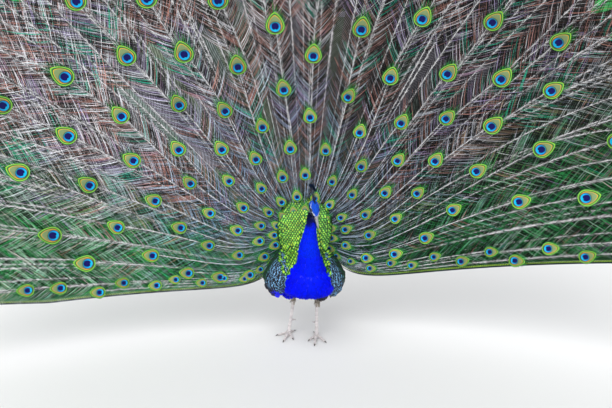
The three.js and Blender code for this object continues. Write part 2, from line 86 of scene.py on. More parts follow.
FLESH = (
    "trunk", "neck", "head", "mantle", "rump", "vent", "wing_left", "wing_right",
    "thigh_left", "thigh_right", "shank_left", "shank_right", "foot_left", "foot_right",
)
TOES = ("outer", "middle", "inner", "hind")
SIDES = ("left", "right")
TRAIN_NODES = tuple(f"train_{n:02d}" for n in range(1, 12))

rng = np.random.default_rng(7)
made = {}  # what one piece leaves for the next: the skin's points, normals, zones and unwrap


# ---------- sizes and colours that a user would change ----------
def length(name, description, default):
    return bpy.props.FloatProperty(
        name=name, description=description, default=default, min=0.0,
        subtype="DISTANCE", unit="LENGTH",
    )


def colour(name, description, default):
    return bpy.props.FloatVectorProperty(
        name=name, description=description, default=default, size=3,
        min=0.0, max=1.0, subtype="COLOR",
    )


class PeacockSizes(bpy.types.PropertyGroup):
    skin_voxel: length("Skin voxel", "Grain of the skin's remesh", 0.003)
    shaft_width: length("Shaft width", "Breadth of a train shaft at its root", 0.0050)
    barb_spacing: length("Barb spacing", "Distance between barbs along a train shaft", 0.0046)
    barb_length: length("Barb length", "Longest barbs of the train", 0.105)
    spot_small: length("Small eye-spot", "Width of the eye-spots nearest the back", 0.038)
    spot_large: length("Large eye-spot", "Width of the eye-spots at the rim", 0.068)
    scale_pitch: length("Scale pitch", "Distance between the gilt scales of the back", 0.0088)
    crest_plumes: bpy.props.IntProperty(
        name="Crest plumes", description="How many plumes the crest has", default=24, min=3,
    )
    spots_apart: bpy.props.FloatProperty(
        name="Eye-spots apart", description="Angle between neighbouring eye-spots of one ring",
        default=math.radians(22), subtype="ANGLE", unit="ROTATION",
    )


class PeacockColours(bpy.types.PropertyGroup):
    neck: colour("Neck", "Blue of the neck and breast", (0.0, 0.004, 0.92))
    # Painted highlight: a lighter blue that stands in for light down the front of the neck and
    # breast.
    highlight_blue: colour("Azure", "Lighter blue down the front of the neck", (0.0, 0.05, 0.95))
    crown: colour("Crown", "Azure of the crown", (0.0, 0.085, 0.72))
    # Also used as the painted shade under the head and under the breast.
    throat: colour("Throat", "Blue-black of the lores, throat and flanks", (0.004, 0.006, 0.03))
    face: colour("Face", "Bare pale skin over and under the eye", (0.72, 0.74, 0.76))
    gilt: colour("Gilt", "Yellow-green heart of the back's scales", (0.50, 0.86, 0.10))
    gold: colour("Gold", "Golden glints among the back's scales", (0.80, 0.62, 0.05))
    green: colour("Green", "Green of the scales and of the train's vanes", (0.04, 0.36, 0.06))
    cream: colour("Cream", "Pale bars of the wing", (0.22, 0.49, 0.80))
    bar: colour("Bar", "Dark bars of the wing", (0.006, 0.008, 0.016))
    rufous: colour("Rufous", "Flight feathers under the wing", (0.36, 0.13, 0.04))
    thigh: colour("Thigh", "Buff of the upper leg", (0.50, 0.44, 0.37))
    down: colour("Down", "Grey-brown down round the vent", (0.26, 0.21, 0.17))
    tail: colour("Tail", "Brown of the stiff tail", (0.15, 0.09, 0.05))
    # Painted highlight: blue-white on the barbs and shafts near the back.
    highlight_frost: colour("Frost", "Blue-white lights of the barbs near the back", (0.26, 0.46, 0.68))
    ivory: colour("Ivory", "Shafts of the train", (0.93, 0.92, 0.93))
    taupe: colour("Taupe", "Brown barbs of the train", (0.17, 0.14, 0.13))
    mauve: colour("Mauve", "Purple-grey barbs of the train", (0.19, 0.18, 0.21))
    olive: colour("Olive", "Green-bronze barbs of the train", (0.03, 0.36, 0.09))
    rose: colour("Rose", "Rosy-brown barbs of the train", (0.46, 0.22, 0.18))
    lilac: colour("Lilac", "Lilac barbs of the train", (0.33, 0.26, 0.46))
    teal: colour("Teal", "Blue-green lights of the train", (0.02, 0.46, 0.30))
    # Painted highlight: barbs painted silvery where they would catch the light.
    pale: colour("Pale", "Silvery barbs that catch the light", (0.82, 0.84, 0.88))
    leg: colour("Leg", "Grey of the bare legs", (0.72, 0.67, 0.66))
    horn: colour("Horn", "Bill and spurs", (0.36, 0.35, 0.39))
    claw: colour("Claw", "Claws", (0.06, 0.05, 0.045))
    floor: colour("Floor", "Studio floor", (0.80, 0.80, 0.79))


def sizes():
    return bpy.context.scene.peacock_sizes


def colours():
    return bpy.context.scene.peacock_colours


# ---------- node and mesh helpers ----------
def fill(tree, made_node, inputs):
    """Sets a node's inputs; one that is given as a socket is linked."""
    for key, value in inputs.items():
        if isinstance(value, bpy.types.NodeSocket):
            tree.links.new(value, made_node.inputs[key])
        else:
            made_node.inputs[key].default_value = value


def put(tree, kind, inputs=None, **settings):
    """A shader node with its settings and inputs."""
    made_node = tree.nodes.new("ShaderNode" + kind)
    for key, value in settings.items():
        setattr(made_node, key, value)
    fill(tree, made_node, inputs or {})
    return made_node


def rgba(value):
    return (*value[:3], 1.0)


def ramp(tree, factor, stops):
    """Colours between stops; a plain number as a stop's colour is a grey."""
    made_node = put(tree, "ValToRGB", {"Fac": factor})
    elements = made_node.color_ramp.elements
    while len(elements) < len(stops):
        elements.new(0.5)
    for element, (position, value) in zip(elements, stops):
        element.position = position
        element.color = rgba(value if isinstance(value, tuple) else (value,) * 3)
    return made_node.outputs["Color"]


def calc(tree, operation, *values, clamp=False):
    """The outcome of one sum on sockets or plain numbers."""
    settings = {"operation": operation, "use_clamp": clamp}
    return put(tree, "Math", dict(enumerate(values)), **settings).outputs[0]


def mix(tree, factor, first, second, blend="MIX"):
    inputs = {0: factor, 6: first, 7: second}
    for slot in (6, 7):
        if not isinstance(inputs[slot], bpy.types.NodeSocket):
            inputs[slot] = rgba(inputs[slot])
    return put(tree, "Mix", inputs, data_type="RGBA", blend_type=blend).outputs[2]


def group(name, inputs, outputs, lay):
    """A node group, built once: lay(tree, inputs) returns its output sockets' values by name."""
    if name in bpy.data.node_groups:
        return bpy.data.node_groups[name]
    tree = bpy.data.node_groups.new(name, "ShaderNodeTree")
    for label, (kind, default) in inputs.items():
        socket = tree.interface.new_socket(label, in_out="INPUT", socket_type=kind)
        if default is not None:
            socket.default_value = default
    for label, kind in outputs.items():
        tree.interface.new_socket(label, in_out="OUTPUT", socket_type=kind)
    start = tree.nodes.new("NodeGroupInput")
    end = tree.nodes.new("NodeGroupOutput")
    for label, value in lay(tree, start.outputs).items():
        tree.links.new(value, end.inputs[label])
    return tree


def use(tree, node_group, inputs):
    made_node = tree.nodes.new("ShaderNodeGroup")
    made_node.node_tree = node_group
    fill(tree, made_node, inputs)
    return made_node.outputs


BARB_SLANT = 1.1  # how far a feather's fine barbs sweep back, for each part that they reach out
QUILL_HALF = 0.03  # half the width of a feather's quill, as a share of its unwrap


def vane_group():
    """Fine barbs across one feather, swept back from its middle line, as a height and a shade."""
    def lay(tree, sockets):
        across, along = parts_of(tree, sockets["Feather"])
        off = calc(tree, "ABSOLUTE", calc(tree, "SUBTRACT", across, 0.5))
        slanted = calc(tree, "SUBTRACT", along, calc(tree, "MULTIPLY", off, BARB_SLANT))
        wave = calc(tree, "SINE", calc(tree, "MULTIPLY", slanted, sockets["Barbs"]))
        height = calc(tree, "MULTIPLY_ADD", wave, 0.5, 0.5)
        quill = calc(tree, "LESS_THAN", off, QUILL_HALF)
        shade = calc(tree, "MULTIPLY_ADD", height, sockets["Contrast"],
                     calc(tree, "SUBTRACT", 1.0, sockets["Contrast"]))
        return {"Height": calc(tree, "MAXIMUM", height, quill), "Shade": shade}
    return group(
        "Feather barbs",
        {"Feather": ("NodeSocketVector", None), "Barbs": ("NodeSocketFloat", 60.0),
         "Contrast": ("NodeSocketFloat", 0.3)},
        {"Height": "NodeSocketFloat", "Shade": "NodeSocketFloat"}, lay,
    )


def tone_group():
    """Uneven depth of colour: a slow cloud over the coat and a step from feather to feather."""
    def lay(tree, sockets):
        cloud = noise(tree, sockets["Cloud scale"], 3.0)
        slow = calc(tree, "MULTIPLY", calc(tree, "SUBTRACT", cloud, 0.5), sockets["Cloud"])
        tone = stored(tree, "tone", "Fac")
        step = calc(tree, "MULTIPLY", calc(tree, "SUBTRACT", tone, 0.5), sockets["Step"])
        level = calc(tree, "ADD", calc(tree, "ADD", slow, step), 1.0)
        scaled = put(tree, "VectorMath", {0: sockets["Colour"]}, operation="SCALE")
        tree.links.new(level, scaled.inputs["Scale"])
        return {"Colour": scaled.outputs["Vector"]}
    return group(
        "Uneven tone",
        {"Colour": ("NodeSocketColor", (0.5, 0.5, 0.5, 1.0)), "Cloud": ("NodeSocketFloat", 0.4),
         "Cloud scale": ("NodeSocketFloat", 25.0), "Step": ("NodeSocketFloat", 0.4)},
        {"Colour": "NodeSocketColor"}, lay,
    )


def toned(tree, value, cloud, scale, step):
    """A colour made uneven by a cloud of that strength and scale and a step between feathers."""
    inputs = {"Colour": value, "Cloud": cloud, "Cloud scale": scale, "Step": step}
    return use(tree, tone_group(), inputs)["Colour"]


def barbed(tree, barbs, contrast):
    """The fine barbs of a feather, so many to its length, as a height and a shade."""
    inputs = {"Feather": feather_uv(tree), "Barbs": barbs, "Contrast": contrast}
    return use(tree, vane_group(), inputs)


def new_material(name, **shader):
    """A material and its Principled shader, whose plain values are set on its own sockets."""
    material = bpy.data.materials.new(name)
    material.use_nodes = True
    principled = material.node_tree.nodes["Principled BSDF"]
    for key, value in shader.items():
        principled.inputs[key.replace("_", " ").title().replace("Ior", "IOR")].default_value = value
    return material, material.node_tree, principled


def bump(tree, principled, height, strength, distance):
    made_node = put(tree, "Bump", {"Height": height, "Strength": strength, "Distance": distance})
    tree.links.new(made_node.outputs["Normal"], principled.inputs["Normal"])


def paint(tree, principled, value):
    tree.links.new(value, principled.inputs["Base Color"])


def stored(tree, name, output="Color"):
    """What each corner of the mesh holds under that name."""
    return put(tree, "Attribute", attribute_name=name).outputs[output]


def place_of(tree):
    return put(tree, "TexCoord").outputs["Object"]


def noise(tree, scale, detail=2.0):
    """A cloud over the piece's own space."""
    inputs = {"Vector": place_of(tree), "Scale": scale, "Detail": detail}
    return put(tree, "TexNoise", inputs).outputs["Fac"]


def feather_uv(tree):
    return put(tree, "UVMap", uv_map="feather").outputs["UV"]


def parts_of(tree, vector):
    """The first two parts of a place: across and along, when it is a feather's unwrap."""
    parts = put(tree, "SeparateXYZ", {"Vector": vector})
    return parts.outputs["X"], parts.outputs["Y"]


def mode(name):
    bpy.ops.object.mode_set(mode=name)


def settle():
    """Takes the active object's place, turn and scale into its mesh."""
    bpy.ops.object.transform_apply(location=True, rotation=True, scale=True)


def read(data, key, width, kind=float):
    """One value of every element of some mesh data, in rows of that width."""
    values = np.empty(len(data) * width, kind)
    data.foreach_get(key, values)
    return values.reshape(-1, width) if width > 1 else values


def store(mesh, name, values):
    """Gives each point of the mesh a colour, or a number, under that name."""
    values = np.asarray(values, float)
    if values.ndim > 1:
        full = np.concatenate((values, np.ones((len(values), 1))), 1)
        mesh.attributes.new(name, "FLOAT_COLOR", "POINT").data.foreach_set("color", full.ravel())
    else:
        mesh.attributes.new(name, "FLOAT", "POINT").data.foreach_set("value", values)


def placed(name, data):
    """A new object in the scene, with its mesh, light or camera."""
    piece = bpy.data.objects.new(name, data)
    bpy.context.scene.collection.objects.link(piece)
    return piece


def clear_selection():
    if bpy.context.object and bpy.context.object.mode != "OBJECT":
        mode("OBJECT")
    bpy.ops.object.select_all(action="DESELECT")


def activate(obj):
    clear_selection()
    obj.select_set(True)
    bpy.context.view_layer.objects.active = obj


def apply_modifier(obj, kind, **settings):
    modifier = obj.modifiers.new(kind.title(), kind)
    for key, value in settings.items():
        setattr(modifier, key, value)
    activate(obj)
    bpy.ops.object.modifier_apply(modifier=modifier.name)


def copy_of(*nodes):
    """The named CAD nodes' meshes, copied and joined, with their loose corners merged."""
    clear_selection()
    copies = []
    for name in nodes:
        twin = placed(f"copy_{name}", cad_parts[name].data.copy())
        twin.select_set(True)
        copies.append(twin)
    bpy.context.view_layer.objects.active = copies[0]
    if len(copies) > 1:
        bpy.ops.object.join()
    joined = bpy.context.object
    joined.data.materials.clear()
    mode("EDIT")
    bpy.ops.mesh.select_all(action="SELECT")
    bpy.ops.mesh.remove_doubles(threshold=1e-6)
    mode("OBJECT")
    return joined


def finish_piece(piece, name, material, nodes=()):
    """Names a finished piece, smooths it, gives it its material, and hangs it on the body."""
    piece.name = name
    piece.data.name = name
    piece.data.materials.clear()
    piece.data.materials.append(material)
    activate(piece)
    bpy.ops.object.shade_smooth()
    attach(piece, BODY)
    if nodes:
        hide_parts(*nodes)
    return piece


def select_points(obj, test):
    """In edit mode, selects only the corners whose place passes the test."""
    mode("EDIT")
    bpy.ops.mesh.select_mode(type="VERT")
    bpy.ops.mesh.select_all(action="DESELECT")
    mode("OBJECT")
    for vertex in obj.data.vertices:
        vertex.select = test(vertex.co)
    mode("EDIT")


def vane(name, columns, outline, curl, arch=0.0, lean=None):
    """One feather, root at the origin and tip at Y = 1: a grid drawn in to its outline by rows.

    outline, curl and lean give each row's half width, height and sideways shift; arch raises the
    middle line.
    """
    rows = len(outline) - 1
    clear_selection()
    bpy.ops.mesh.primitive_grid_add(
        x_subdivisions=columns, y_subdivisions=rows, size=1.0, location=(0.0, 0.5, 0.0),
    )
    feather = bpy.context.object
    feather.name = name
    feather.data.uv_layers[0].name = "feather"
    settle()
    if arch:
        select_points(feather, lambda place: abs(place.x) < 1e-4)
        bpy.ops.transform.translate(value=(0.0, 0.0, arch))
        mode("OBJECT")
    for row, (half, rise, shift) in enumerate(zip(outline, curl, lean or [0.0] * len(outline))):
        select_points(feather, lambda place: abs(place.y - row / rows) < 0.01)
        bpy.ops.transform.resize(value=(2.0 * half, 1.0, 1.0), center_override=(0.0, 0.0, 0.0))
        bpy.ops.transform.translate(value=(shift, 0.0, rise))
        mode("OBJECT")
    return feather


def arrays_of(prototype):
    mesh = prototype.data
    return (
        read(mesh.vertices, "co", 3), read(mesh.loops, "vertex_index", 1, int),
        read(mesh.polygons, "loop_total", 1, int), read(mesh.uv_layers["feather"].data, "uv", 2),
    )


def strew(name, prototype, axes, places, roots, dye, patch=0.003):
    """Copies of one modelled feather, joined in one mesh.

    axes holds each copy's across, along and up columns, places its root, roots its place on the
    unwrap of what it grows on, and dye its colour. Each copy has its own patch of the bake map.
    """
    points, corners, totals, uv = arrays_of(prototype)
    count = len(places)
    spots = np.einsum("nij,vj->nvi", axes, points) + places[:, None, :]
    mesh = bpy.data.meshes.new(name)
    mesh.vertices.add(count * len(points))
    mesh.vertices.foreach_set("co", spots.ravel())
    mesh.loops.add(count * len(corners))
    shift = np.arange(count)[:, None] * len(points)
    mesh.loops.foreach_set("vertex_index", (corners[None, :] + shift).ravel())
    mesh.polygons.add(count * len(totals))
    all_totals = np.tile(totals, count)
    mesh.polygons.foreach_set("loop_start", np.concatenate(([0], np.cumsum(all_totals)[:-1])))
    mesh.polygons.foreach_set("loop_total", all_totals)
    mesh.update(calc_edges=True)
    mesh.uv_layers.new(name="feather").data.foreach_set("uv", np.tile(uv, (count, 1)).ravel())
    middle = (uv.min(0) + uv.max(0)) / 2
    bake = roots[:, None, :] + (uv - middle)[None] * patch
    mesh.uv_layers.new(name="OFBake").data.foreach_set("uv", np.clip(bake, 0, 1).ravel())
    mesh.uv_layers.active = mesh.uv_layers["feather"]
    store(mesh, "tone", np.repeat(rng.random(count), len(points)))
    store(mesh, "dye", np.repeat(dye, len(points), 0))
    return placed(name, mesh)


def drop(*prototypes):
    for prototype in prototypes:
        bpy.data.objects.remove(prototype)


def unit(vectors):
    return vectors / np.maximum(np.linalg.norm(vectors, axis=-1, keepdims=True), 1e-9)


def laid(normals, lie, long, wide, lift):
    """Axes of tufts that lie along the coat, each raised by lift from the skin at its tip."""
    along = unit(lie - (lie * normals).sum(1, keepdims=True) * normals)
    across = np.cross(along, normals)
    raised = along * np.cos(lift)[:, None] + normals * np.sin(lift)[:, None]
    up = normals * np.cos(lift)[:, None] - along * np.sin(lift)[:, None]
    return np.stack((across * wide[:, None], raised * long[:, None], up * long[:, None]), 2)


def ribbons(along, front, wide, reach):
    """Axes of ribbons that turn their flat side to front, reach long and as high."""
    across = unit(np.cross(along, front))
    reach = reach[:, None]
    return np.stack((across * wide, along * reach, np.cross(across, along) * reach), 2)


def tree_of(points):
    """A tree that finds the points near a place."""
    tree = KDTree(len(points))
    for number, point in enumerate(points):
        tree.insert(point, number)
    tree.balance()
    return tree


def spaced(points, gap):
    """Numbers of the points kept when no two may be closer than the gap."""
    tree = tree_of(points)
    gone = np.zeros(len(points), bool)
    kept = []
    for number in rng.permutation(len(points)):
        if gone[number]:
            continue
        kept.append(number)
        for _, near, _ in tree.find_range(points[number], gap):
            gone[near] = True
    return np.array(kept)


# ---------- the fan's own frame ----------
def fan_point(radius, share, forward=0.0):
    """Points of the raised fan.

    radius runs from its hub, share from one lower edge (-1) to the other (1), and forward is how
    far in front of the dish they lie.
    """
    radius = np.asarray(radius, float)
    dip = np.clip((EDGE_DROP - EDGE_RISE * radius) / np.maximum(radius, 1e-3), 0, 1)
    drop_angle = (np.maximum(np.arcsin(dip), 1e-3) ** -5.0 + EDGE_LIMIT ** -5.0) ** -0.2
    arched = np.clip(1 - ((share - ARCH_MIDDLE) / ARCH_HALF) ** 2, 0, 1)
    share = share - ARCH_RISE * arched * np.sin(np.pi * np.clip(radius / TRAIN_RADIUS, 0, 1))
    angle = np.pi / 2 - share * (np.pi / 2 + drop_angle) + TRAIN_ROLL
    dish = TRAIN_DISH * (radius / TRAIN_RADIUS) ** 2
    return np.stack((
        HUB[0] + radius * np.cos(angle),
        HUB[1] - dish - forward + 0 * radius,
        HUB[2] + radius * np.sin(angle),
    ), -1)


def fan_share(radius, angle):
    """The share of the fan at which an angle above level lies, at that radius."""
    dip = min(max((EDGE_DROP - EDGE_RISE * radius) / radius, 0.0), 1.0)
    return (math.pi / 2 - (angle - TRAIN_ROLL)) / (math.pi / 2 + min(math.asin(dip), EDGE_LIMIT))


def fan_unwrap(points):
    """Where points of the fan lie on the dish rolled out flat, in a unit square."""
    flat = points[..., (0, 2)] - HUB[[0, 2]]
    radius = np.linalg.norm(flat, axis=-1, keepdims=True)
    slope = 2 * TRAIN_DISH * radius / TRAIN_RADIUS ** 2
    arc = radius * np.sqrt(1 + slope ** 2 / 3)
    rolled = flat / np.maximum(radius, 1e-6) * arc
    reach = 2 * TRAIN_RADIUS * 1.12  # the square's side, with room for the rim feathers
    return np.stack((0.5 + rolled[..., 0] / reach, 0.2 + rolled[..., 1] / reach), -1)


def fan_frame(radius, share, forward):
    """Points of the fan with their outward, sideways and forward directions."""
    step = 0.004  # how far off the neighbouring points lie that show the directions
    here = fan_point(radius, share, forward)
    out = unit(fan_point(radius + step, share, forward) - fan_point(radius - step, share, forward))
    front = unit(np.cross(out, fan_point(radius, share + step, forward) - here))
    front = np.where(front[..., 1:2] > 0, -front, front)
    side = np.cross(out, front)
    return here, out, side, front


# ---------- skin ----------
COAT_DEPTH = {
    "head": 0.0013, "neck": 0.0035, "trunk": 0.005, "mantle": 0.005, "rump": 0.006, "vent": 0.008,
    "wing": 0.005, "thigh": 0.004, "shank": 0.0, "foot": 0.0,
}


FAR = 9.0  # beyond every part of the bird: a band that ends here is open on that side
HEAD_FROM = 0.53  # the height from which the head's markings run on over the neck
BROW_HALF = 0.0011
# Where the painted highlight lies across the breast.
BREAST_HIGHLIGHT = (-0.005, 0.062)  # from and to, across the breast
BREAST_HEIGHTS = (0.255, 0.295, 0.315, 0.357, 0.39, 0.44)
BREAST_LEFT = (-0.064, -0.059, -0.051, -0.027, -0.015, -0.011)
BREAST_RIGHT = (0.119, 0.101, 0.095, 0.077, 0.062, 0.052)


def zone_name(node):
    return node.split("_")[0]


def head_axes():
    turn = Euler((HEAD_PITCH, 0.0, HEAD_YAW), "XYZ").to_matrix()
    return (
        np.array(turn @ Vector((0.0, -1.0, 0.0))),
        np.array(turn @ Vector((1.0, 0.0, 0.0))),
        np.array(turn @ Vector((0.0, 0.0, 1.0))),
    )


def head_place(points):
    """Points in the head's own frame: toward the bill, to the bird's left, up."""
    forward, side, up = head_axes()
    rel = points - np.array(HEAD_CENTRE)
    return rel @ forward, rel @ side, rel @ up


def band(value, low, high, soft):
    """1 inside a range and 0 outside it, with soft edges."""
    rise = np.clip((value - low) / soft + 0.5, 0, 1)
    fall = np.clip((high - value) / soft + 0.5, 0, 1)
    return rise * fall


def blended(base, other, share):
    """The base colour, one or one to a point, with each point's share of the other."""
    return np.atleast_2d(base) * (1 - share[:, None]) + np.atleast_2d(other) * share[:, None]


def dimmed(value, share):
    return share * np.array(value[:])


def markings(points, zones):
    """The colours of skin and coat alike, by the part of the body and the place on it, with a
    painted highlight down the front of the neck and painted shade under the head and under the
    breast.
    """
    c = colours()
    out = np.zeros((len(points), 3))
    plain = {
        "head": c.crown, "neck": c.neck, "trunk": c.neck, "mantle": c.gilt, "rump": c.down,
        "vent": c.down, "wing": c.cream, "thigh": c.thigh, "shank": c.leg, "foot": c.leg,
    }
    for zone, value in plain.items():
        out[zones == zone] = value[:]
    trunk, neck, wing = (zones == zone for zone in ("trunk", "neck", "wing"))
    x, y, z = points.T
    # Painted highlight: lighter blue down the front of the neck and breast.
    lit = band(x, *BREAST_HIGHLIGHT, 0.06) * band(z, 0.27, 0.52, 0.16)
    outer = band(np.abs(x - MIDDLE_X) + 0.5 * (z - 0.28), 0.126, FAR, 0.012)
    lobe = band(x, -0.13, -0.052, 0.006) * band(z, -FAR, 0.262, 0.010) * wing
    # The thigh tucked under the breast: blue on its -X side, and on its +X side painted shade where
    # the breast overhangs it.
    tucked = (zones == "thigh") * band(z, 0.188, FAR, 0.004) * band(y, -FAR, FEET_Y + 0.035, 0.008)

    forward, side, up = head_place(points)
    off = np.abs(side)
    head = (zones == "head") | (neck & (forward > -0.030) & (z > HEAD_FROM))
    throat = band(up, -FAR, -0.006, 0.006) * band(forward, -FAR, 0.02, 0.01)
    lores = band(up, -0.0025 - forward * 0.12, 0.0075 - forward * 0.10, 0.002)
    lores = lores * band(forward, -0.010, 0.05, 0.004) * (off > 0.004)
    # Painted shade: the neck just under the head, all but the nape, darkened to blue-black.
    shade_below_head = neck * band(z, 0.514, FAR, 0.016)
    nape = band(off, -FAR, 0.004, 0.010) * (z < HEAD_FROM)
    cheek = band(up, -0.0105, -0.0045 - forward * 0.10, 0.0015)
    cheek = cheek * band(forward, -0.012, 0.020, 0.004)
    brow_middle = 0.0115 - forward * 0.25
    brow = band(up, brow_middle - BROW_HALF, brow_middle + BROW_HALF, 0.0008)
    brow = brow * band(forward, -0.014, 0.034, 0.004)

    for value, share in (
        # painted highlight down the front of the neck and breast
        (c.highlight_blue[:], lit * (0.2 * trunk + 0.45 * neck)),
        (c.throat[:], band(y, FEET_Y - 0.015, FAR, 0.03) * trunk),
        (c.throat[:], 0.6 * band(z, -FAR, 0.250, 0.03) * trunk),
        (c.down[:], trunk * band(y, FEET_Y + 0.11, FAR, 0.03)),
        (dimmed(c.green, 0.35), outer * wing),
        (dimmed(c.tail, 0.5), band(z, -FAR, 0.226, 0.012) * wing),
        (c.throat[:], lobe),
        (c.neck[:], lobe * band(x, -0.101, FAR, 0.014)),
        (c.neck[:], tucked * band(x, -FAR, 0.0, 0.01)),
        # painted shade under the breast
        (c.throat[:], 0.9 * tucked * band(x, 0.0, FAR, 0.01)),
        (c.gilt[:], (zones == "rump") * band(y, -FAR, HUB[1] - 0.004, 0.02)),
        (c.throat[:], throat * head),
        (c.throat[:], lores * head),
        # painted shade on the neck under the head
        (c.throat[:], 0.9 * shade_below_head * (1 - nape)),
        (c.face[:], cheek * (off > 0.006) * head),
        (c.face[:], brow * (off > 0.0035) * head),
    ):
        out = blended(out, value, share)
    return out


def skin_material():
    """The dyed skin, lined like small scutes where the legs are bare."""
    material, tree, principled = new_material("skin_of_the_bird", roughness=0.7)
    dyed = toned(tree, stored(tree, "dye"), 0.35, 60.0, 0.0)
    inputs = {"Vector": place_of(tree), "Scale": 210.0}
    scutes = put(tree, "TexVoronoi", inputs, feature="DISTANCE_TO_EDGE")
    edge = ramp(tree, scutes.outputs["Distance"], ((0.0, 0.45), (0.12, 1.0)))
    bare = stored(tree, "bare", "Fac")
    lined = mix(tree, 1.0, dyed, edge, "MULTIPLY")
    paint(tree, principled, mix(tree, bare, dyed, lined))
    bump(tree, principled, calc(tree, "MULTIPLY", edge, bare), 0.5, 0.0008)
    return material


class MakeSkin(bpy.types.Operator):
    """One seamless skin over trunk, neck, head, wings and legs, under the coat"""
    bl_idname = "peacock.skin"
    bl_label = "Skin"

    def execute(self, context):
        skin = copy_of(*FLESH)
        apply_modifier(skin, "REMESH", mode="VOXEL", voxel_size=sizes().skin_voxel)
        apply_modifier(skin, "SMOOTH", factor=0.5, iterations=5)
        points, zones = self.zoned(skin)
        depth = np.array([COAT_DEPTH[zone] for zone in zones])
        depth = self.softened(skin, depth)[:, None]
        points = points - read(skin.data.vertices, "normal", 3) * depth
        skin.data.vertices.foreach_set("co", points.ravel())
        skin.data.update()
        activate(skin)
        mode("EDIT")
        bpy.ops.mesh.select_all(action="SELECT")
        bpy.ops.uv.smart_project(angle_limit=math.radians(66), island_margin=0.002)
        mode("OBJECT")
        skin.data.uv_layers[0].name = "OFBake"
        shade = np.where(zones == "wing", 0.12, 1.0)[:, None]  # the dark bars, taken together
        store(skin.data, "dye", markings(points, zones) * shade)
        store(skin.data, "bare", np.isin(zones, ("shank", "foot")))
        finish_piece(skin, "skin", skin_material(), FLESH)
        self.remember(skin, zones)
        return {"FINISHED"}

    def zoned(self, skin):
        """Each point of the skin, and the part of the body whose surface lies nearest."""
        points = np.array([v.co for v in skin.data.vertices])
        corners, faces, owners = [], [], []
        for node in FLESH:
            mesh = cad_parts[node].data
            start = len(corners)
            corners += [v.co.copy() for v in mesh.vertices]
            faces += [tuple(start + i for i in face.vertices) for face in mesh.polygons]
            owners += [zone_name(node)] * len(mesh.polygons)
        tree = BVHTree.FromPolygons(corners, faces)
        zones = np.array([owners[tree.find_nearest(Vector(p))[2]] for p in points])
        across, back, height = points.T
        left = np.interp(height, BREAST_HEIGHTS, BREAST_LEFT)
        right = np.interp(height, BREAST_HEIGHTS, BREAST_RIGHT)
        shoulder = (zones == "trunk") & ((across < left) | (across > right)) & (height > 0.262)
        shoulder &= (back < FEET_Y + 0.06) & ((height < 0.375) | (back > FEET_Y - 0.03))
        zones[shoulder] = "mantle"
        zones[shoulder & (height < 0.305)] = "wing"
        inner_left = (across < left) & (across > np.interp(height, (0.295, 0.38), (-0.060, -0.078)))
        inner_right = (across > right) & (across < 0.092)
        on_wing = (zones == "wing") & (height > 0.31) & (back < FEET_Y + 0.02)
        zones[on_wing & (inner_left | inner_right)] = "mantle"
        return points, zones

    def softened(self, skin, values):
        """Values evened out over neighbouring points, so that the skin has no steps."""
        first, second = read(skin.data.edges, "vertices", 2, int).T
        for _ in range(6):
            total = values.copy()
            weight = np.ones(len(values))
            for here, there in ((first, second), (second, first)):
                np.add.at(total, here, values[there])
                np.add.at(weight, here, 1.0)
            values = total / weight
        return values

    def remember(self, skin, zones):
        """Keeps the skin's faces for the coat that grows on them."""
        mesh = skin.data
        starts = read(mesh.polygons, "loop_start", 1, int)
        made["points"] = read(mesh.polygons, "center", 3)
        made["normals"] = read(mesh.polygons, "normal", 3)
        made["zones"] = zones[read(mesh.loops, "vertex_index", 1, int)[starts]]
        made["roots"] = read(mesh.uv_layers["OFBake"].data, "uv", 2)[starts]
        made["tree"] = BVHTree.FromPolygons(
            [v.co.copy() for v in mesh.vertices], [tuple(p.vertices) for p in mesh.polygons],
        )


# ---------- coat ----------
EYE_CLEARING = 0.0088


def lie_of_coat(points, zones):
    """Which way the feathers lie at each place on the body."""
    out = np.tile((0.0, 0.30, -1.0), (len(points), 1))
    for zone, way in {"wing": (0, 1.0, -0.22), "thigh": (0, 0.15, -1.0)}.items():
        out[zones == zone] = way
    trunk = zones == "trunk"
    back = np.clip((points[:, 1] - (FEET_Y - 0.10)) / 0.08, 0, 1)[:, None]
    hanging = (1 - back) * np.array((0, 0.4, -1.0)) + back * np.array((0, 1.0, -0.1))
    out = np.where(trunk[:, None], hanging, out)
    risen = np.isin(zones, ("mantle", "rump", "vent"))
    spread = np.stack((points[:, 0] * 2.2, 0.05 + 0 * points[:, 0], 0.25 + 0 * points[:, 0]), 1)
    out = np.where(risen[:, None], spread, out)
    side = head_place(points)[1]
    toward_bill, to_left, _ = head_axes()
    near = np.clip(1.35 - np.linalg.norm(points - np.array(HEAD_CENTRE), axis=1) / 0.045, 0, 1)
    near = near * np.isin(zones, ("head", "neck"))
    back_of_head = -toward_bill[None] + 0.15 * np.sign(side)[:, None] * to_left[None]
    return out * (1 - near[:, None]) + back_of_head * near[:, None]


def roots_on(zones, gap, keep=None, copies=1):
    """Evenly spaced roots on the named parts of the skin, gap apart."""
    chosen = np.flatnonzero(np.isin(made["zones"], zones))
    if keep is not None:
        chosen = chosen[keep(made["points"][chosen], made["normals"][chosen])]
    chosen = np.repeat(chosen, copies)
    normals = made["normals"][chosen]
    jitter = rng.normal(0, 0.3, (len(chosen), 3)) * np.minimum(gap, sizes().skin_voxel)
    places = made["points"][chosen] + jitter - (jitter * normals).sum(1, keepdims=True) * normals
    kept = spaced(places, gap)
    chosen = chosen[kept]
    return places[kept], normals[kept], made["roots"][chosen], made["zones"][chosen]


def body_feather(name="body_feather"):
    return vane(name, 2, (0.16, 0.42, 0.50, 0.30), (0.0, 0.03, 0.03, -0.04), 0.05)


def tufts(name, prototype, grown, long, wide, lift, material, spin=0.12):
    """A coat piece: copies of prototype on the grown roots, lying along the coat."""
    places, normals, roots, zones = grown
    count = len(places)
    lie = unit(lie_of_coat(places, zones)) + rng.normal(0, spin, (count, 3))
    vary = rng.uniform(0.85, 1.15, count)
    axes = laid(normals, lie, long * vary, wide * vary, lift * rng.uniform(0.7, 1.3, count))
    piece = strew(name, prototype, axes, places, roots, markings(places, zones))
    finish_piece(piece, name, material)


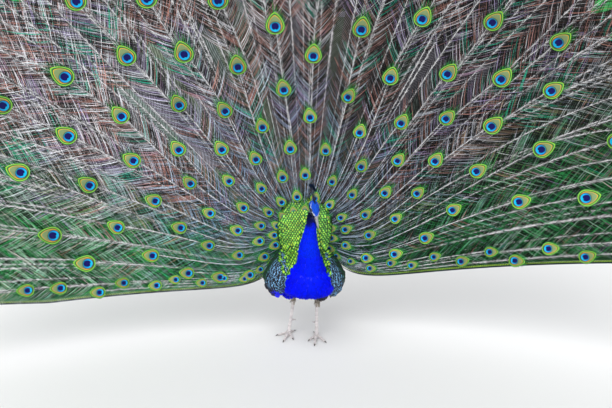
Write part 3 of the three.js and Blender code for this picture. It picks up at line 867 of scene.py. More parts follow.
def plumage_material(
    name, roughness, cloud=0.4, step=0.5, barbs=50.0, contrast=0.35, sheen=None, gloss=0.5,
):
    """Feathers dyed by their own place, with fine barbs; sheen lights them where they turn away."""
    material, tree, principled = new_material(name, roughness=roughness, specular_ior_level=gloss)
    vanes = barbed(tree, barbs, contrast)
    dyed = toned(tree, stored(tree, "dye"), cloud, 22.0, step)
    paint(tree, principled, mix(tree, 1.0, dyed, vanes["Shade"], "MULTIPLY"))
    bump(tree, principled, vanes["Height"], 0.35, 0.0006)
    if sheen:
        principled.inputs["Sheen Weight"].default_value = sheen[0]
        principled.inputs["Sheen Roughness"].default_value = 0.35
        principled.inputs["Sheen Tint"].default_value = rgba(sheen[1])
    return material


class MakeNeckCoat(bpy.types.Operator):
    """Small blue feathers on the neck, breast and belly"""
    bl_idname = "peacock.neck_coat"
    bl_label = "Neck and breast feathers"

    def execute(self, context):
        material = plumage_material(
            "blue_feathers", 0.5, cloud=0.25, step=0.35, contrast=0.2, gloss=0.05,
        )
        prototype = body_feather()
        upper = roots_on(("neck",), 0.0034, copies=2)
        tufts("coat_neck", prototype, upper, 0.0105, 0.0056, 0.16, material)
        lower = roots_on(("trunk",), 0.0048)
        tufts("coat_breast", prototype, lower, 0.0145, 0.0080, 0.13, material)
        drop(prototype)
        return {"FINISHED"}


def outside_face(points, _normals):
    """True where the head is feathered: away from the eyes and the bill."""
    forward, side, up = head_place(points)
    off = np.abs(side)
    eye = np.sqrt((forward - EYE_PLACE["forward"]) ** 2 + (up - EYE_PLACE["up"]) ** 2)
    clear = (eye > EYE_CLEARING) | (off < 0.008)
    return clear & (forward < 0.036)


class MakeHeadCoat(bpy.types.Operator):
    """The smallest feathers, on the crown, nape and throat"""
    bl_idname = "peacock.head_coat"
    bl_label = "Head feathers"

    def execute(self, context):
        material = plumage_material("crown_feathers", 0.4, sheen=(0.08, (0.1, 0.5, 1.0)), gloss=0.2)
        prototype = body_feather("crown_feather")
        grown = roots_on(("head",), 0.0016, outside_face, copies=4)
        tufts("coat_head", prototype, grown, 0.0046, 0.0026, 0.20, material)
        drop(prototype)
        return {"FINISHED"}


def scale_material():
    """Gilt scales: a bright heart, a green band round it and a black edge at the tip."""
    material, tree, principled = new_material(
        "gilt_scales", roughness=0.36, specular_ior_level=0.45, metallic=0.25,
    )
    x, y = parts_of(tree, feather_uv(tree))
    across = calc(tree, "MULTIPLY", calc(tree, "SUBTRACT", x, 0.5), 1.6)
    along = calc(tree, "SUBTRACT", y, 0.52)
    squares = calc(tree, "ADD", calc(tree, "MULTIPLY", across, across),
                   calc(tree, "MULTIPLY", calc(tree, "MULTIPLY", along, along), 3.6))
    away = calc(tree, "SQRT", squares)
    ring = ramp(tree, away, (
        (0.0, (1.5, 0.95, 0.5)), (0.26, (1.05, 1.0, 0.7)), (0.44, (0.42, 0.85, 0.8)),
        (0.60, (0.12, 0.42, 0.60)), (0.74, (0.03, 0.07, 0.10)), (1.0, (0.01, 0.015, 0.02)),
    ))
    dyed = toned(tree, stored(tree, "dye"), 0.9, 14.0, 0.7)
    paint(tree, principled, mix(tree, 1.0, dyed, ring, "MULTIPLY"))
    bump(tree, principled, barbed(tree, 70.0, 0.2)["Height"], 0.3, 0.0005)
    return material


ROW_STEP = 0.80  # how far the rows of scales lie apart, as a share of the pitch in a row


class MakeBackCoat(bpy.types.Operator):
    """The gilt scales of the raised back, in overlapping rows"""
    bl_idname = "peacock.back_coat"
    bl_label = "Back scales"

    def execute(self, context):
        prototype = vane(
            "back_scale", 4, (0.36, 0.48, 0.50, 0.49, 0.43, 0.30, 0.10),
            (0, 0.01, 0.02, 0.03, 0.02, 0, -0.02), 0.03,
        )
        front = self.rows()
        behind = self.beyond(front[0], roots_on(("mantle", "rump"), 0.0075))
        places, normals, roots, zones = (np.concatenate(pair) for pair in zip(front, behind))
        count = len(places)
        rise = np.clip((places[:, 2] - 0.30) / 0.24, 0, 1)
        reach = 1.0 + 0.55 * rise + 0.5 * np.clip((np.abs(places[:, 0]) - 0.04) / 0.06, 0, 1)
        pitch = sizes().scale_pitch
        lie = unit(lie_of_coat(places, zones)) + rng.normal(0, 0.05, (count, 3))
        axes = laid(normals, lie, pitch * 2.1 * reach, pitch * 1.22 * reach, 0.20 + 0 * rise)
        dye = blended(markings(places, zones), colours().green[:], 0.55 * rng.random(count) ** 2)
        dye = blended(dye, colours().gold[:], 0.35 * rng.random(count) ** 3)
        piece = strew("coat_back", prototype, axes, places, roots, dye)
        finish_piece(piece, "coat_back", scale_material())
        drop(prototype)
        return {"FINISHED"}

    def beyond(self, taken, grown):
        """The grown roots that lie clear of the rows already placed."""
        tree = tree_of(taken)
        clear = np.array([tree.find(place)[2] > sizes().scale_pitch * 0.78 for place in grown[0]])
        return tuple(part[clear] for part in grown)

    def rows(self):
        """Roots of the scales that face forward, in staggered rows on the skin."""
        pitch = sizes().scale_pitch
        found = []
        for row in range(int(0.30 / (pitch * ROW_STEP))):
            for column in range(-16, 17):
                across = (column + 0.5 * (row % 2)) * pitch + MIDDLE_X
                start = Vector((across, -0.5, 0.285 + row * pitch * ROW_STEP))
                hit, normal, face, _ = made["tree"].ray_cast(start, Vector((0, 1, 0)))
                if hit and made["zones"][face] in ("mantle", "rump"):
                    found.append((hit, normal, made["roots"][face], made["zones"][face]))
        return tuple(np.array(part) for part in zip(*found))


def barred_material():
    """Wing feathers crossed by wavy dark bars on a pale ground."""
    material, tree, principled = new_material(
        "barred_feathers", roughness=0.62, specular_ior_level=0.3,
    )
    along = parts_of(tree, feather_uv(tree))[1]
    sway = calc(tree, "MULTIPLY", noise(tree, 115.0), 15.0)
    phase = calc(tree, "MULTIPLY_ADD", along, 18.0, sway)
    phase = calc(tree, "ADD", phase, calc(tree, "MULTIPLY", stored(tree, "tone", "Fac"), 6.0))
    bars = calc(tree, "MULTIPLY_ADD", calc(tree, "SINE", phase), 0.5, 0.5)
    dark = ramp(tree, bars, ((0.0, 0.0), (0.82, 0.0), (0.89, 1.0), (1.0, 1.0)))
    dye = stored(tree, "dye")
    parts = put(tree, "SeparateColor", {"Color": dye})
    blueness = calc(tree, "MULTIPLY_ADD", parts.outputs["Red"], -2.5, parts.outputs["Blue"])
    dark = calc(tree, "MAXIMUM", dark, calc(tree, "GREATER_THAN", blueness, 0.7))
    paint(tree, principled, mix(tree, dark, colours().bar, toned(tree, dye, 0.5, 30.0, 0.5)))
    bump(tree, principled, barbed(tree, 80.0, 0.2)["Height"], 0.4, 0.0005)
    return material


class MakeWingCoat(bpy.types.Operator):
    """Barred feathers over the folded wings"""
    bl_idname = "peacock.wing_coat"
    bl_label = "Wing feathers"

    def execute(self, context):
        outline, curl = (0.30, 0.46, 0.50, 0.46, 0.26), (0, 0.02, 0.03, 0.02, -0.02)
        prototype = vane("covert", 4, outline, curl, 0.03)
        grown, material = roots_on(("wing",), 0.0072), barred_material()
        tufts("coat_wings", prototype, grown, 0.030, 0.0165, 0.10, material, 0.08)
        drop(prototype)
        return {"FINISHED"}


class MakeQuills(bpy.types.Operator):
    """Rufous flight feathers hanging below each wing"""
    bl_idname = "peacock.quills"
    bl_label = "Flight feathers"

    def execute(self, context):
        material = plumage_material(
            "rufous_feathers", 0.55, cloud=0.3, step=0.3, barbs=260.0, contrast=0.3,
        )
        prototype = vane(
            "flight_feather", 4, (0.10, 0.30, 0.42, 0.48, 0.50, 0.49, 0.46, 0.38, 0.20),
            (0, 0, 0.004, 0.008, 0.010, 0.010, 0.008, 0.004, 0), 0.006,
        )
        axes, places, roots = [], [], []
        for side in (-1, 1):
            for number in range(8):
                step = number / 7
                out = side * (0.113 - 0.006 * step)
                root = np.array((MIDDLE_X + out, FEET_Y + 0.002, 0.229 - 0.050 * step))
                rise = 0.172 + 0.006 * number
                tip = np.array((MIDDLE_X + side * 0.083, FEET_Y + 0.226 - 0.060 * step, rise))
                along = tip - root
                outward = unit(np.array((side * 1.0, 0.12, -0.25 * step)))
                across = unit(np.cross(along, outward))
                reach = np.linalg.norm(along)
                outward = np.cross(across, unit(along))
                axes.append(np.stack((across * 0.030, along, outward * reach), 1))
                places.append(root - outward * 0.0008 * number)
                roots.append((0.5 + side * 0.2, 0.2 + 0.05 * number))
        axes, places, roots = np.array(axes), np.array(places), np.array(roots)
        dye = np.tile(colours().rufous[:], (len(places), 1))
        piece = strew("flight_feathers", prototype, axes, places, roots, dye, 0.04)
        nodes = ("primaries_left", "primaries_right")
        finish_piece(piece, "flight_feathers", material, nodes)
        drop(prototype)
        return {"FINISHED"}


class MakeDown(bpy.types.Operator):
    """Buff feathers of the thighs and loose grey-brown down round the vent"""
    bl_idname = "peacock.down"
    bl_label = "Thigh feathers and down"

    def execute(self, context):
        material = plumage_material(
            "soft_down", 0.9, cloud=0.5, barbs=36.0, contrast=0.45, gloss=0.15,
        )
        prototype = body_feather("thigh_feather")
        grown = roots_on(("thigh",), 0.0048)
        tufts("coat_thighs", prototype, grown, 0.017, 0.0075, 0.16, material, 0.2)
        drop(prototype)
        prototype = vane("down_tuft", 2, (0.10, 0.34, 0.50, 0.36), (0, 0.05, 0.02, -0.10), 0.08)
        grown = roots_on(("vent", "rump"), 0.0085, lambda points, normals: normals[:, 1] > -0.3)
        tufts("coat_vent", prototype, grown, 0.034, 0.012, 0.34, material, 0.35)
        drop(prototype)
        return {"FINISHED"}


# ---------- train ----------
RING_RADII = (0.112, 0.168, 0.255, 0.360, 0.465, 0.575, 0.685, 0.795, 0.905, 1.010, 1.115, 1.220)
FIRST_ANGLE = math.radians(86)
RIM_FEATHERS = 33
PLAIN_FEATHERS = 56
EDGE_MARGIN = 0.002  # how far feathers may hang below the fan's lower edge
EDGE_SWEEP = 0.14  # how fast the right lower edge is swept up near the rim
WEB_HALF = 0.066  # half the width of a feather's close vane
THREAD_PITCH = 0.0072  # distance between the threads drawn on the close vanes
RINGS_END = 0.93  # share of the fan beyond which the rings give way to the lower edge's own row
EDGE_SHARE = 0.985  # share of the fan at which the lower edge's row of eye-spots stands
LAYER_STEP = 0.0026  # how far each ring's feathers lie behind those of the ring inside it
BARBED_RUN = 0.38  # length of the loose-barbed end of a feather
BACK_SHAFTS_FROM = 8  # rings whose shafts also show on the fan's back
ROOT_RADIUS = 0.085  # where the shafts begin


def spot_places():
    """Radius, share, layer and width of each eye-spot: the rings, then the lower edges' rows."""
    found = []
    apart = sizes().spots_apart
    for ring, radius in enumerate(RING_RADII):
        offset = apart / 2 if ring % 2 else 0.0
        for step in range(-8, 9):
            angle = FIRST_ANGLE + offset + step * apart + rng.normal(0, math.radians(0.8))
            here = radius * (1 + rng.normal(0, 0.006))
            share = fan_share(here, angle)
            if abs(share) < RINGS_END:
                found.append((here, share, ring, spot_size(here) * (0.93 if share > 0.15 else 1.0)))
    for side in (-1, 1):
        for number in range(13):
            here = 0.155 + 0.055 * number + 0.0030 * number ** 2 + rng.normal(0, 0.005)
            tucked = 0.06 * max(0.0, 1 - here / 0.8) + 0.020 * (number % 2)
            share = EDGE_SHARE - tucked - (0.02 if side < 0 and here > 1.0 else 0.0)
            found.append((here, side * share, min(int(here / 0.11), 11), spot_size(here) * 0.74))
    return np.array(found)


def spot_size(radius):
    grow = np.clip((radius - RING_RADII[0]) / 0.75, 0, 1)
    return sizes().spot_small + (sizes().spot_large - sizes().spot_small) * grow


def layer_depth(layer):
    return LAYER_STEP * (len(RING_RADII) - layer)


def all_shafts():
    """Every train feather: end radius, share, layer, the width of its eye-spot and its sway."""
    spots = spot_places()
    rim = np.array([
        (TRAIN_RADIUS * 0.985, 0.97 * (2 * n / (RIM_FEATHERS - 1) - 1), len(RING_RADII) + 0.5, 0.0)
        for n in range(RIM_FEATHERS)
    ])
    plain = np.array([
        (rng.uniform(1.24, 1.33), 0.975 * (2 * (n + rng.uniform(0.2, 0.8)) / PLAIN_FEATHERS - 1),
         len(RING_RADII) - 0.5, 0.0)
        for n in range(PLAIN_FEATHERS)
    ])
    return [
        np.column_stack((kind, rng.normal(0, 0.012, len(kind)) * (np.abs(kind[:, 1]) < 0.85)))
        for kind in (spots, rim, plain)
    ]


def course(feather, stations):
    """The shares of the fan that one feather passes through, with its own slight sway."""
    radius, share, sway = feather[0], feather[1], feather[4]
    return share + sway * np.sin(np.pi * np.clip(np.asarray(stations) / radius, 0, 1))


def drift(radius, share, phase):
    """A slow change over the fan from -1 to 1, so that neighbouring barbs share a tint."""
    x, y = radius * np.sin(share * 1.7), radius * np.cos(share * 1.7)
    along_x = np.sin(15 * x + 4 * np.sin(9 * y + phase))
    return along_x * np.sin(13 * y + 4 * np.sin(11 * x + 2 * phase))


def left_light(share):
    """Painted light: 1 on the fan's left, painted paler as if better lit, falling to 0 over its
    middle and right.
    """
    return np.clip(0.35 - share * 1.3, 0, 1)


def lower_edge(radius, hand):
    """The length from the fan's middle to its lower edge on that hand, and what is swept away."""
    dip = np.clip((EDGE_DROP - EDGE_RISE * radius) / radius, 0, 1)
    half_turn = np.pi / 2 + np.minimum(np.arcsin(dip), EDGE_LIMIT)
    swept = np.maximum(radius - 0.95, 0) * (EDGE_SWEEP if hand < 0 else 0.0)
    return half_turn * radius, swept


def room_beside(radius, share, hand):
    """How far a feather may reach to that hand before it hangs below the fan's lower edge."""
    whole, swept = lower_edge(radius, hand)
    return np.maximum((1 - share * hand) * whole - swept, 0) + EDGE_MARGIN


def strip_along(stations, shares, depth, left, right, belly):
    """Points of a long ribbon that follows one feather of the fan, three to a row."""
    here, _, side, front = fan_frame(stations, shares, depth)
    left, right = left[:, None], right[:, None]
    edges = here - side * left - front * belly, here + side * right - front * belly
    return np.stack((edges[0], here, edges[1]), 1)


def mesh_of_strips(name, strips, wide_uv, dye, tones):
    """One mesh of many ribbons, each a run of rows of three points, with unwraps along them."""
    faces, uvs, bakes, start = [], [], [], 0
    for strip, (halves, v_span) in zip(strips, wide_uv):
        rows = len(strip)
        rolled = fan_unwrap(strip)
        for row in range(rows - 1):
            for column in range(2):
                a = start + row * 3 + column
                faces.append((a, a + 1, a + 4, a + 3))
                for down, over in ((0, 0), (0, 1), (1, 1), (1, 0)):
                    r, c = row + down, column + over
                    along = v_span[0] + (v_span[1] - v_span[0]) * r / (rows - 1)
                    uvs.append(((c - 1) * halves[c // 2][r], along))
                    bakes.append(rolled[r, c])
        start += rows * 3
    mesh = bpy.data.meshes.new(name)
    mesh.from_pydata(np.concatenate(strips).reshape(-1, 3).tolist(), [], faces)
    mesh.uv_layers.new(name="feather").data.foreach_set("uv", np.array(uvs).ravel())
    mesh.uv_layers.new(name="OFBake").data.foreach_set("uv", np.clip(bakes, 0, 1).ravel())
    mesh.uv_layers.active = mesh.uv_layers["feather"]
    counts = [len(strip) * 3 for strip in strips]
    store(mesh, "tone", np.repeat(tones, counts))
    store(mesh, "dye", np.repeat(dye, counts, 0))
    return placed(name, mesh)


def train_dye(radius, share):
    """Base colour of the barbs: green low, brown and mauve above, with a painted blue-white
    highlight near the back and painted light brightening the fan's left.
    """
    c = colours()
    count = len(radius)
    pick = rng.random(count)
    base = blended(c.taupe[:], c.mauve[:], (pick > 0.45).astype(float))
    low = np.clip((np.abs(share) - 0.62) / 0.25, 0, 1)
    near = np.clip((0.50 - radius) / 0.3, 0, 1)
    green = np.clip(low * 0.85 + 0.25 * (rng.random(count) < 0.25), 0, 1)
    # painted highlight: blue-white near the back
    base = blended(blended(base, dimmed(c.olive, 0.7), green), dimmed(c.highlight_frost, 0.4), near * 0.7)
    # painted light: the barbs are brighter toward the fan's left
    return base * (0.55 + 1.3 * left_light(share) * np.clip(radius / 0.7, 0.2, 1))[:, None]


def thread_dye(radius, share):
    """Colours of single barbs: mostly dark, some rosy or lilac, and silvery ones that are painted
    highlights, more and brighter toward the fan's left.
    """
    c = colours()
    count = len(radius)
    pick = rng.random(count)
    dark = train_dye(radius, share) * 0.09
    left = left_light(share)
    # painted light: more silvery barbs toward the fan's left
    pale_from = 0.84 - 0.14 * left * np.clip(radius / 0.6, 0.2, 1)
    low = np.clip((np.abs(share) - 0.60) / 0.2, 0, 1)
    slow = drift(radius, share, 1.0)
    cool = np.clip(drift(radius, share, 2.6) * 3, 0, 1)
    tint = blended(c.rose[:], c.lilac[:], cool)
    tint = blended(tint, c.teal[:], (slow > 0.5) * (rng.random(count) < 0.8))
    tint = blended(tint, c.olive[:], low * (rng.random(count) < 0.85))
    # painted light: the tints are brighter toward the fan's left
    tint = tint * (0.75 + 0.45 * left)[:, None]
    tinted = blended(dark, tint, 0.95 * ((pick > pale_from - 0.26) & (pick <= pale_from)))
    # painted highlight: the silvery barbs, blue-white near the back and brighter toward the fan's
    # left
    near = np.clip((0.75 - radius) / 0.4, 0, 1)
    white = blended(c.pale[:], c.highlight_frost[:], near) * (0.62 + 0.50 * left)[:, None]
    sheen_highlight = blended(white, tint, np.maximum(0.55 * low, 0.30 * rng.random(count)))
    return np.where((pick > pale_from)[:, None], sheen_highlight, tinted)


def vane_web_material():
    """Close barbs seen as slanting pale and dark threads, with painted highlights that vary over
    the fan and are stronger toward its left.
    """
    material, tree, principled = new_material("train_web", roughness=0.55, specular_ior_level=0.15)
    across, along = parts_of(tree, feather_uv(tree))
    off = calc(tree, "ABSOLUTE", across)
    slant = calc(tree, "SUBTRACT", along, calc(tree, "MULTIPLY", off, 1.0))
    slant = calc(tree, "ADD", slant, calc(tree, "MULTIPLY", noise(tree, 9.0, 1.0), 0.02))
    threads, fine = (
        calc(tree, "SINE", calc(tree, "MULTIPLY", slant, 2 * math.pi / pitch))
        for pitch in (THREAD_PITCH, THREAD_PITCH * 0.37)
    )
    lines = calc(tree, "MULTIPLY_ADD", fine, 0.14, 0.5)
    lines = calc(tree, "MULTIPLY_ADD", threads, 0.36, lines)
    # Painted highlight: a cloud of pale on the light threads, stronger toward -X, stands in for
    # light caught by the barbs.
    lit = ramp(tree, noise(tree, 42.0, 4.0), ((0.30, 0.0), (0.75, 1.0)))
    bright = calc(tree, "MULTIPLY", lit, calc(tree, "GREATER_THAN", lines, 0.55))
    side = parts_of(tree, place_of(tree))[0]
    lit_side = calc(tree, "MULTIPLY_ADD", side, -0.35, 0.18, clamp=True)
    dyed = toned(tree, stored(tree, "dye"), 1.3, 13.0, 0.8)
    coloured = mix(tree, calc(tree, "MULTIPLY", bright, lit_side), dyed, colours().pale)
    shaded = ramp(tree, lines, ((0.12, 0.04), (0.50, 0.30), (0.80, 1.3)))
    paint(tree, principled, mix(tree, 1.0, coloured, shaded, "MULTIPLY"))
    bump(tree, principled, lines, 0.6, 0.0012)
    return material


class MakeTrainWeb(bpy.types.Operator):
    """The close vanes of the train, one overlapping strip to each feather, and the lower hems"""
    bl_idname = "peacock.train_web"
    bl_label = "Train vanes"

    def execute(self, context):
        spots, rim, plain = all_shafts()
        made["spots"], made["rim"] = spots, rim
        made["shafts"] = np.concatenate((spots, rim, plain))
        strips, spans, dye, tones = [], [], [], []
        for feather in made["shafts"]:
            radius, share, _, spot = feather[:4]
            start = max(ROOT_RADIUS - 0.02, radius - 0.85)
            end = radius - spot * 0.2
            stations = np.linspace(start, end, max(4, int((end - start) / 0.03)))
            run = np.linspace(0, 1, len(stations))
            half = np.minimum(WEB_HALF, 0.30 * stations) * np.clip((1.03 - run) * 9, 0.3, 1)
            left, right = (np.minimum(half, room_beside(stations, share, hand)) for hand in (-1, 1))
            depth = rng.uniform(-0.0075, -0.0035)
            shares = course(feather, stations)
            strips.append(strip_along(stations, shares, depth, left, right, 0.005))
            spans.append(((left, right), (start, end)))
            dye.append(train_dye(np.array([radius]), np.array([share]))[0])
            tones.append(rng.random())
        self.hem(strips, spans, dye, tones)
        web = mesh_of_strips("train_web", strips, spans, dye, tones)
        finish_piece(web, "train_web", vane_web_material(), TRAIN_NODES)
        return {"FINISHED"}

    def hem(self, strips, spans, dye, tones):
        """Along each lower edge of the fan: a yellow-green vane and a blue-black one under it."""
        stations = np.linspace(0.19, 1.30, 44)
        for side in (-1, 1):
            whole, swept = lower_edge(stations, side)
            for inset, half, forward, tint in (
                (0.005, 0.0048, 0.020, dimmed(colours().gilt, 0.45)),
                (0.0, 0.0035, 0.021, (0.01, 0.03, 0.05)),
            ):
                wide = half * np.clip(np.minimum(stations - 0.18, 1.31 - stations) * 9, 0.2, 1)
                shares = side * (1 - (swept + inset) / whole)
                below = np.minimum(wide, inset + EDGE_MARGIN)
                left, right = (below, wide) if side < 0 else (wide, below)
                strips.append(strip_along(stations, shares, forward, left, right, 0.001))
                spans.append(((left, right), (stations[0], stations[-1])))
                dye.append(tint)
                tones.append(0.5)


def quill_prototype():
    """A shaft: a tapering five-sided rod along Y, one unit long."""
    clear_selection()
    bpy.ops.mesh.primitive_cone_add(
        vertices=5, radius1=0.5, radius2=0.16, depth=1.0, end_fill_type="TRIFAN",
        location=(0.0, 0.5, 0.0), rotation=(-math.pi / 2, 0.0, 0.0),
    )
    quill = bpy.context.object
    settle()
    quill.data.uv_layers[0].name = "feather"
    return quill


def ivory_material():
    material, tree, principled = new_material("ivory_shafts", roughness=0.4, specular_ior_level=0.5)
    worn = ramp(tree, noise(tree, 70.0), ((0.32, (0.45, 0.42, 0.42)), (0.44, 0.95), (0.7, 1.0)))
    paint(tree, principled, mix(tree, 1.0, stored(tree, "dye"), worn, "MULTIPLY"))
    return material


def on_fan(
    name, prototype, axes, places, dye, material, patch=0.003, nodes=(),
):
    """A piece of copies strewn over the fan, each baked at its place on the rolled-out dish."""
    piece = strew(name, prototype, axes, places, fan_unwrap(places), dye, patch)
    return finish_piece(piece, name, material, nodes)


def in_pairs(start, end, gap):
    """Stations in pairs along a shaft, and which hand each one's barb lies on."""
    stations = np.repeat(np.arange(start, end, gap), 2)
    return stations, np.where(np.arange(len(stations)) % 2, 1.0, -1.0)


class MakeShafts(bpy.types.Operator):
    """The ivory shafts of the train feathers"""
    bl_idname = "peacock.shafts"
    bl_label = "Train shafts"

    def execute(self, context):
        quill = quill_prototype()
        axes, places = [], []
        width = sizes().shaft_width
        for feather in made["shafts"]:
            radius, layer = feather[0], feather[2]
            joints = max(3, int((radius - ROOT_RADIUS) / 0.06))
            stations = np.linspace(ROOT_RADIUS, radius, joints + 1)
            shares = course(feather, stations)
            here, _, side, front = fan_frame(stations, shares, layer_depth(layer))
            if layer >= BACK_SHAFTS_FROM:
                behind = fan_point(stations, shares, -0.0100)
                here = np.concatenate((here, behind))
                side, front = np.tile(side, (2, 1)), np.tile(front, (2, 1))
            for n in [n for n in range(len(here) - 1) if n != joints]:
                along = (here[n + 1] - here[n]) * 1.02
                way = stations[n % (joints + 1)] / radius
                thick = width * float(np.interp(way, (0.0, 0.45, 1.0), (0.55, 0.85, 0.40)))
                axes.append(np.stack((side[n] * thick, along, front[n] * thick), 1))
                places.append(here[n])
        places = np.array(places)
        # painted highlight: the shafts are blue-white near the hub
        near = np.clip(1.25 - np.linalg.norm((places - HUB)[:, (0, 2)], axis=1) / 0.36, 0, 1)
        dye = blended(colours().ivory[:], colours().highlight_frost[:], 0.8 * near)
        ivory = ivory_material()
        on_fan("train_shafts", quill, np.array(axes), places, dye, ivory)
        drop(quill)
        self.fluff(ivory)
        return {"FINISHED"}

    def fluff(self, material):
        """Short pale barbs that clothe the outer part of each shaft."""
        short = vane("short_barb", 1, (0.5, 0.2), (0.0, 0.06))
        axes, places = [], []
        for feather in made["shafts"]:
            radius, layer = feather[0], feather[2]
            stations, hand = in_pairs(max(0.22, radius - 0.75), max(0.23, radius - 0.03), 0.0052)
            count = len(stations)
            depth = layer_depth(layer) + 0.0008
            here, out, side, front = fan_frame(stations, course(feather, stations), depth)
            turn = np.radians(rng.normal(30, 5, count))
            along = out * np.cos(turn)[:, None] + side * (hand * np.sin(turn))[:, None]
            grown = np.clip(stations / 0.8, 0.35, 1)
            reach = 0.0115 * grown * rng.uniform(0.6, 1.3, count)
            axes.append(ribbons(along, front, 0.0020, reach))
            places.append(here)
        places = np.concatenate(places)
        dye = np.array(colours().ivory[:]) * rng.choice((0.08, 0.45, 0.95), len(places))[:, None]
        # painted light: the fluff is darker toward +X, on the fan's less lit right
        dye = dye * np.interp(places[:, :1], (-0.4, 0.3), (1.0, 0.7))
        on_fan("shaft_fluff", short, np.concatenate(axes), places, dye, material)
        drop(short)


def barb_prototype(side):
    """One loose barb, one unit long: a narrow ribbon that leans toward the tip of its feather."""
    lean = (0.0, 0.01 * side, 0.05 * side, 0.12 * side)
    return vane("barb", 1, (0.0075, 0.0078, 0.0066, 0.0020), (0.0, 0.02, 0.02, -0.02), lean=lean)


class MakeBarbs(bpy.types.Operator):
    """Loose barbs along the train feathers, crossing those of their neighbours"""
    bl_idname = "peacock.barbs"
    bl_label = "Train barbs"

    def execute(self, context):
        material = plumage_material(
            "train_barbs", 0.5, cloud=0.9, step=1.1, barbs=5.0, contrast=0.0, gloss=0.2,
        )
        shafts = made["shafts"]
        for name, first, last in (
            ("inner", 0, 6), ("middle", 6, 10), ("outer", 10, 12), ("rim", 12, 14),
        ):
            chosen = (shafts[:, 2] >= first) & (shafts[:, 2] < last)
            self.grow(f"train_barbs_{name}", shafts[chosen], material)
        return {"FINISHED"}

    def grow(self, name, shafts, material):
        parts = []
        for hand in (-1, 1):
            barb = barb_prototype(-hand)
            axes, places, dye = [], [], []
            for feather in shafts:
                radius, share, layer, spot = feather[:4]
                run = BARBED_RUN * (1.0 if spot else 1.2) * (1.7 if abs(share) > 0.55 else 1.0)
                start = max(ROOT_RADIUS + 0.02, radius - run)
                gap = sizes().barb_spacing
                stations = np.arange(start, max(radius - 0.006, start + 2.5 * gap), gap)
                stations = stations + rng.uniform(-0.25, 0.25, len(stations)) * gap
                count = len(stations)
                shares = course(feather, stations)
                here, out, side, front = fan_frame(stations, shares, layer_depth(layer) - 0.004)
                to_end = np.clip((radius - stations) / 0.16, 0, 1)
                reach = sizes().barb_length * (0.42 + 0.58 * to_end)
                reach = reach * np.clip(stations / 0.5, 0.35, 1) * rng.uniform(0.75, 1.15, count)
                turn = np.radians(rng.normal(46, 2.0, count))
                reach = np.minimum(reach, room_beside(stations, share, hand) / np.sin(turn))
                lift = np.radians(rng.normal(0.5, 3.5, count))
                along = out * np.cos(turn)[:, None] + side * hand * np.sin(turn)[:, None]
                along = unit(along + front * np.sin(lift)[:, None])
                axes.append(ribbons(along, front, reach[:, None], reach))
                places.append(here)
                dye.append(thread_dye(stations, shares))
            axes, places, dye = (np.concatenate(part) for part in (axes, places, dye))
            parts.append(strew(name, barb, axes, places, fan_unwrap(places), dye))
            drop(barb)
        clear_selection()
        for part in parts:
            part.select_set(True)
        bpy.context.view_layer.objects.active = parts[0]
        bpy.ops.object.join()
        finish_piece(parts[0], name, material)


SPOT_TALL = 1.14  # height of an eye-spot as a share of its width


def spot_prototype():
    """An eye-spot: a teardrop, root at the origin, whose unwrap is its own outline laid flat."""
    spot = vane(
        "eye_spot", 10,
        (0.20, 0.35, 0.44, 0.485, 0.50, 0.495, 0.475, 0.435, 0.38, 0.31, 0.23, 0.14, 0.02),
        (0, 0.01, 0.02, 0.025, 0.028, 0.03, 0.03, 0.028, 0.025, 0.02, 0.012, 0.0, -0.012), 0.012,
    )
    for corner in spot.data.loops:
        place = spot.data.vertices[corner.vertex_index].co
        spot.data.uv_layers["feather"].data[corner.index].uv = (place.x + 0.5, place.y)
    return spot


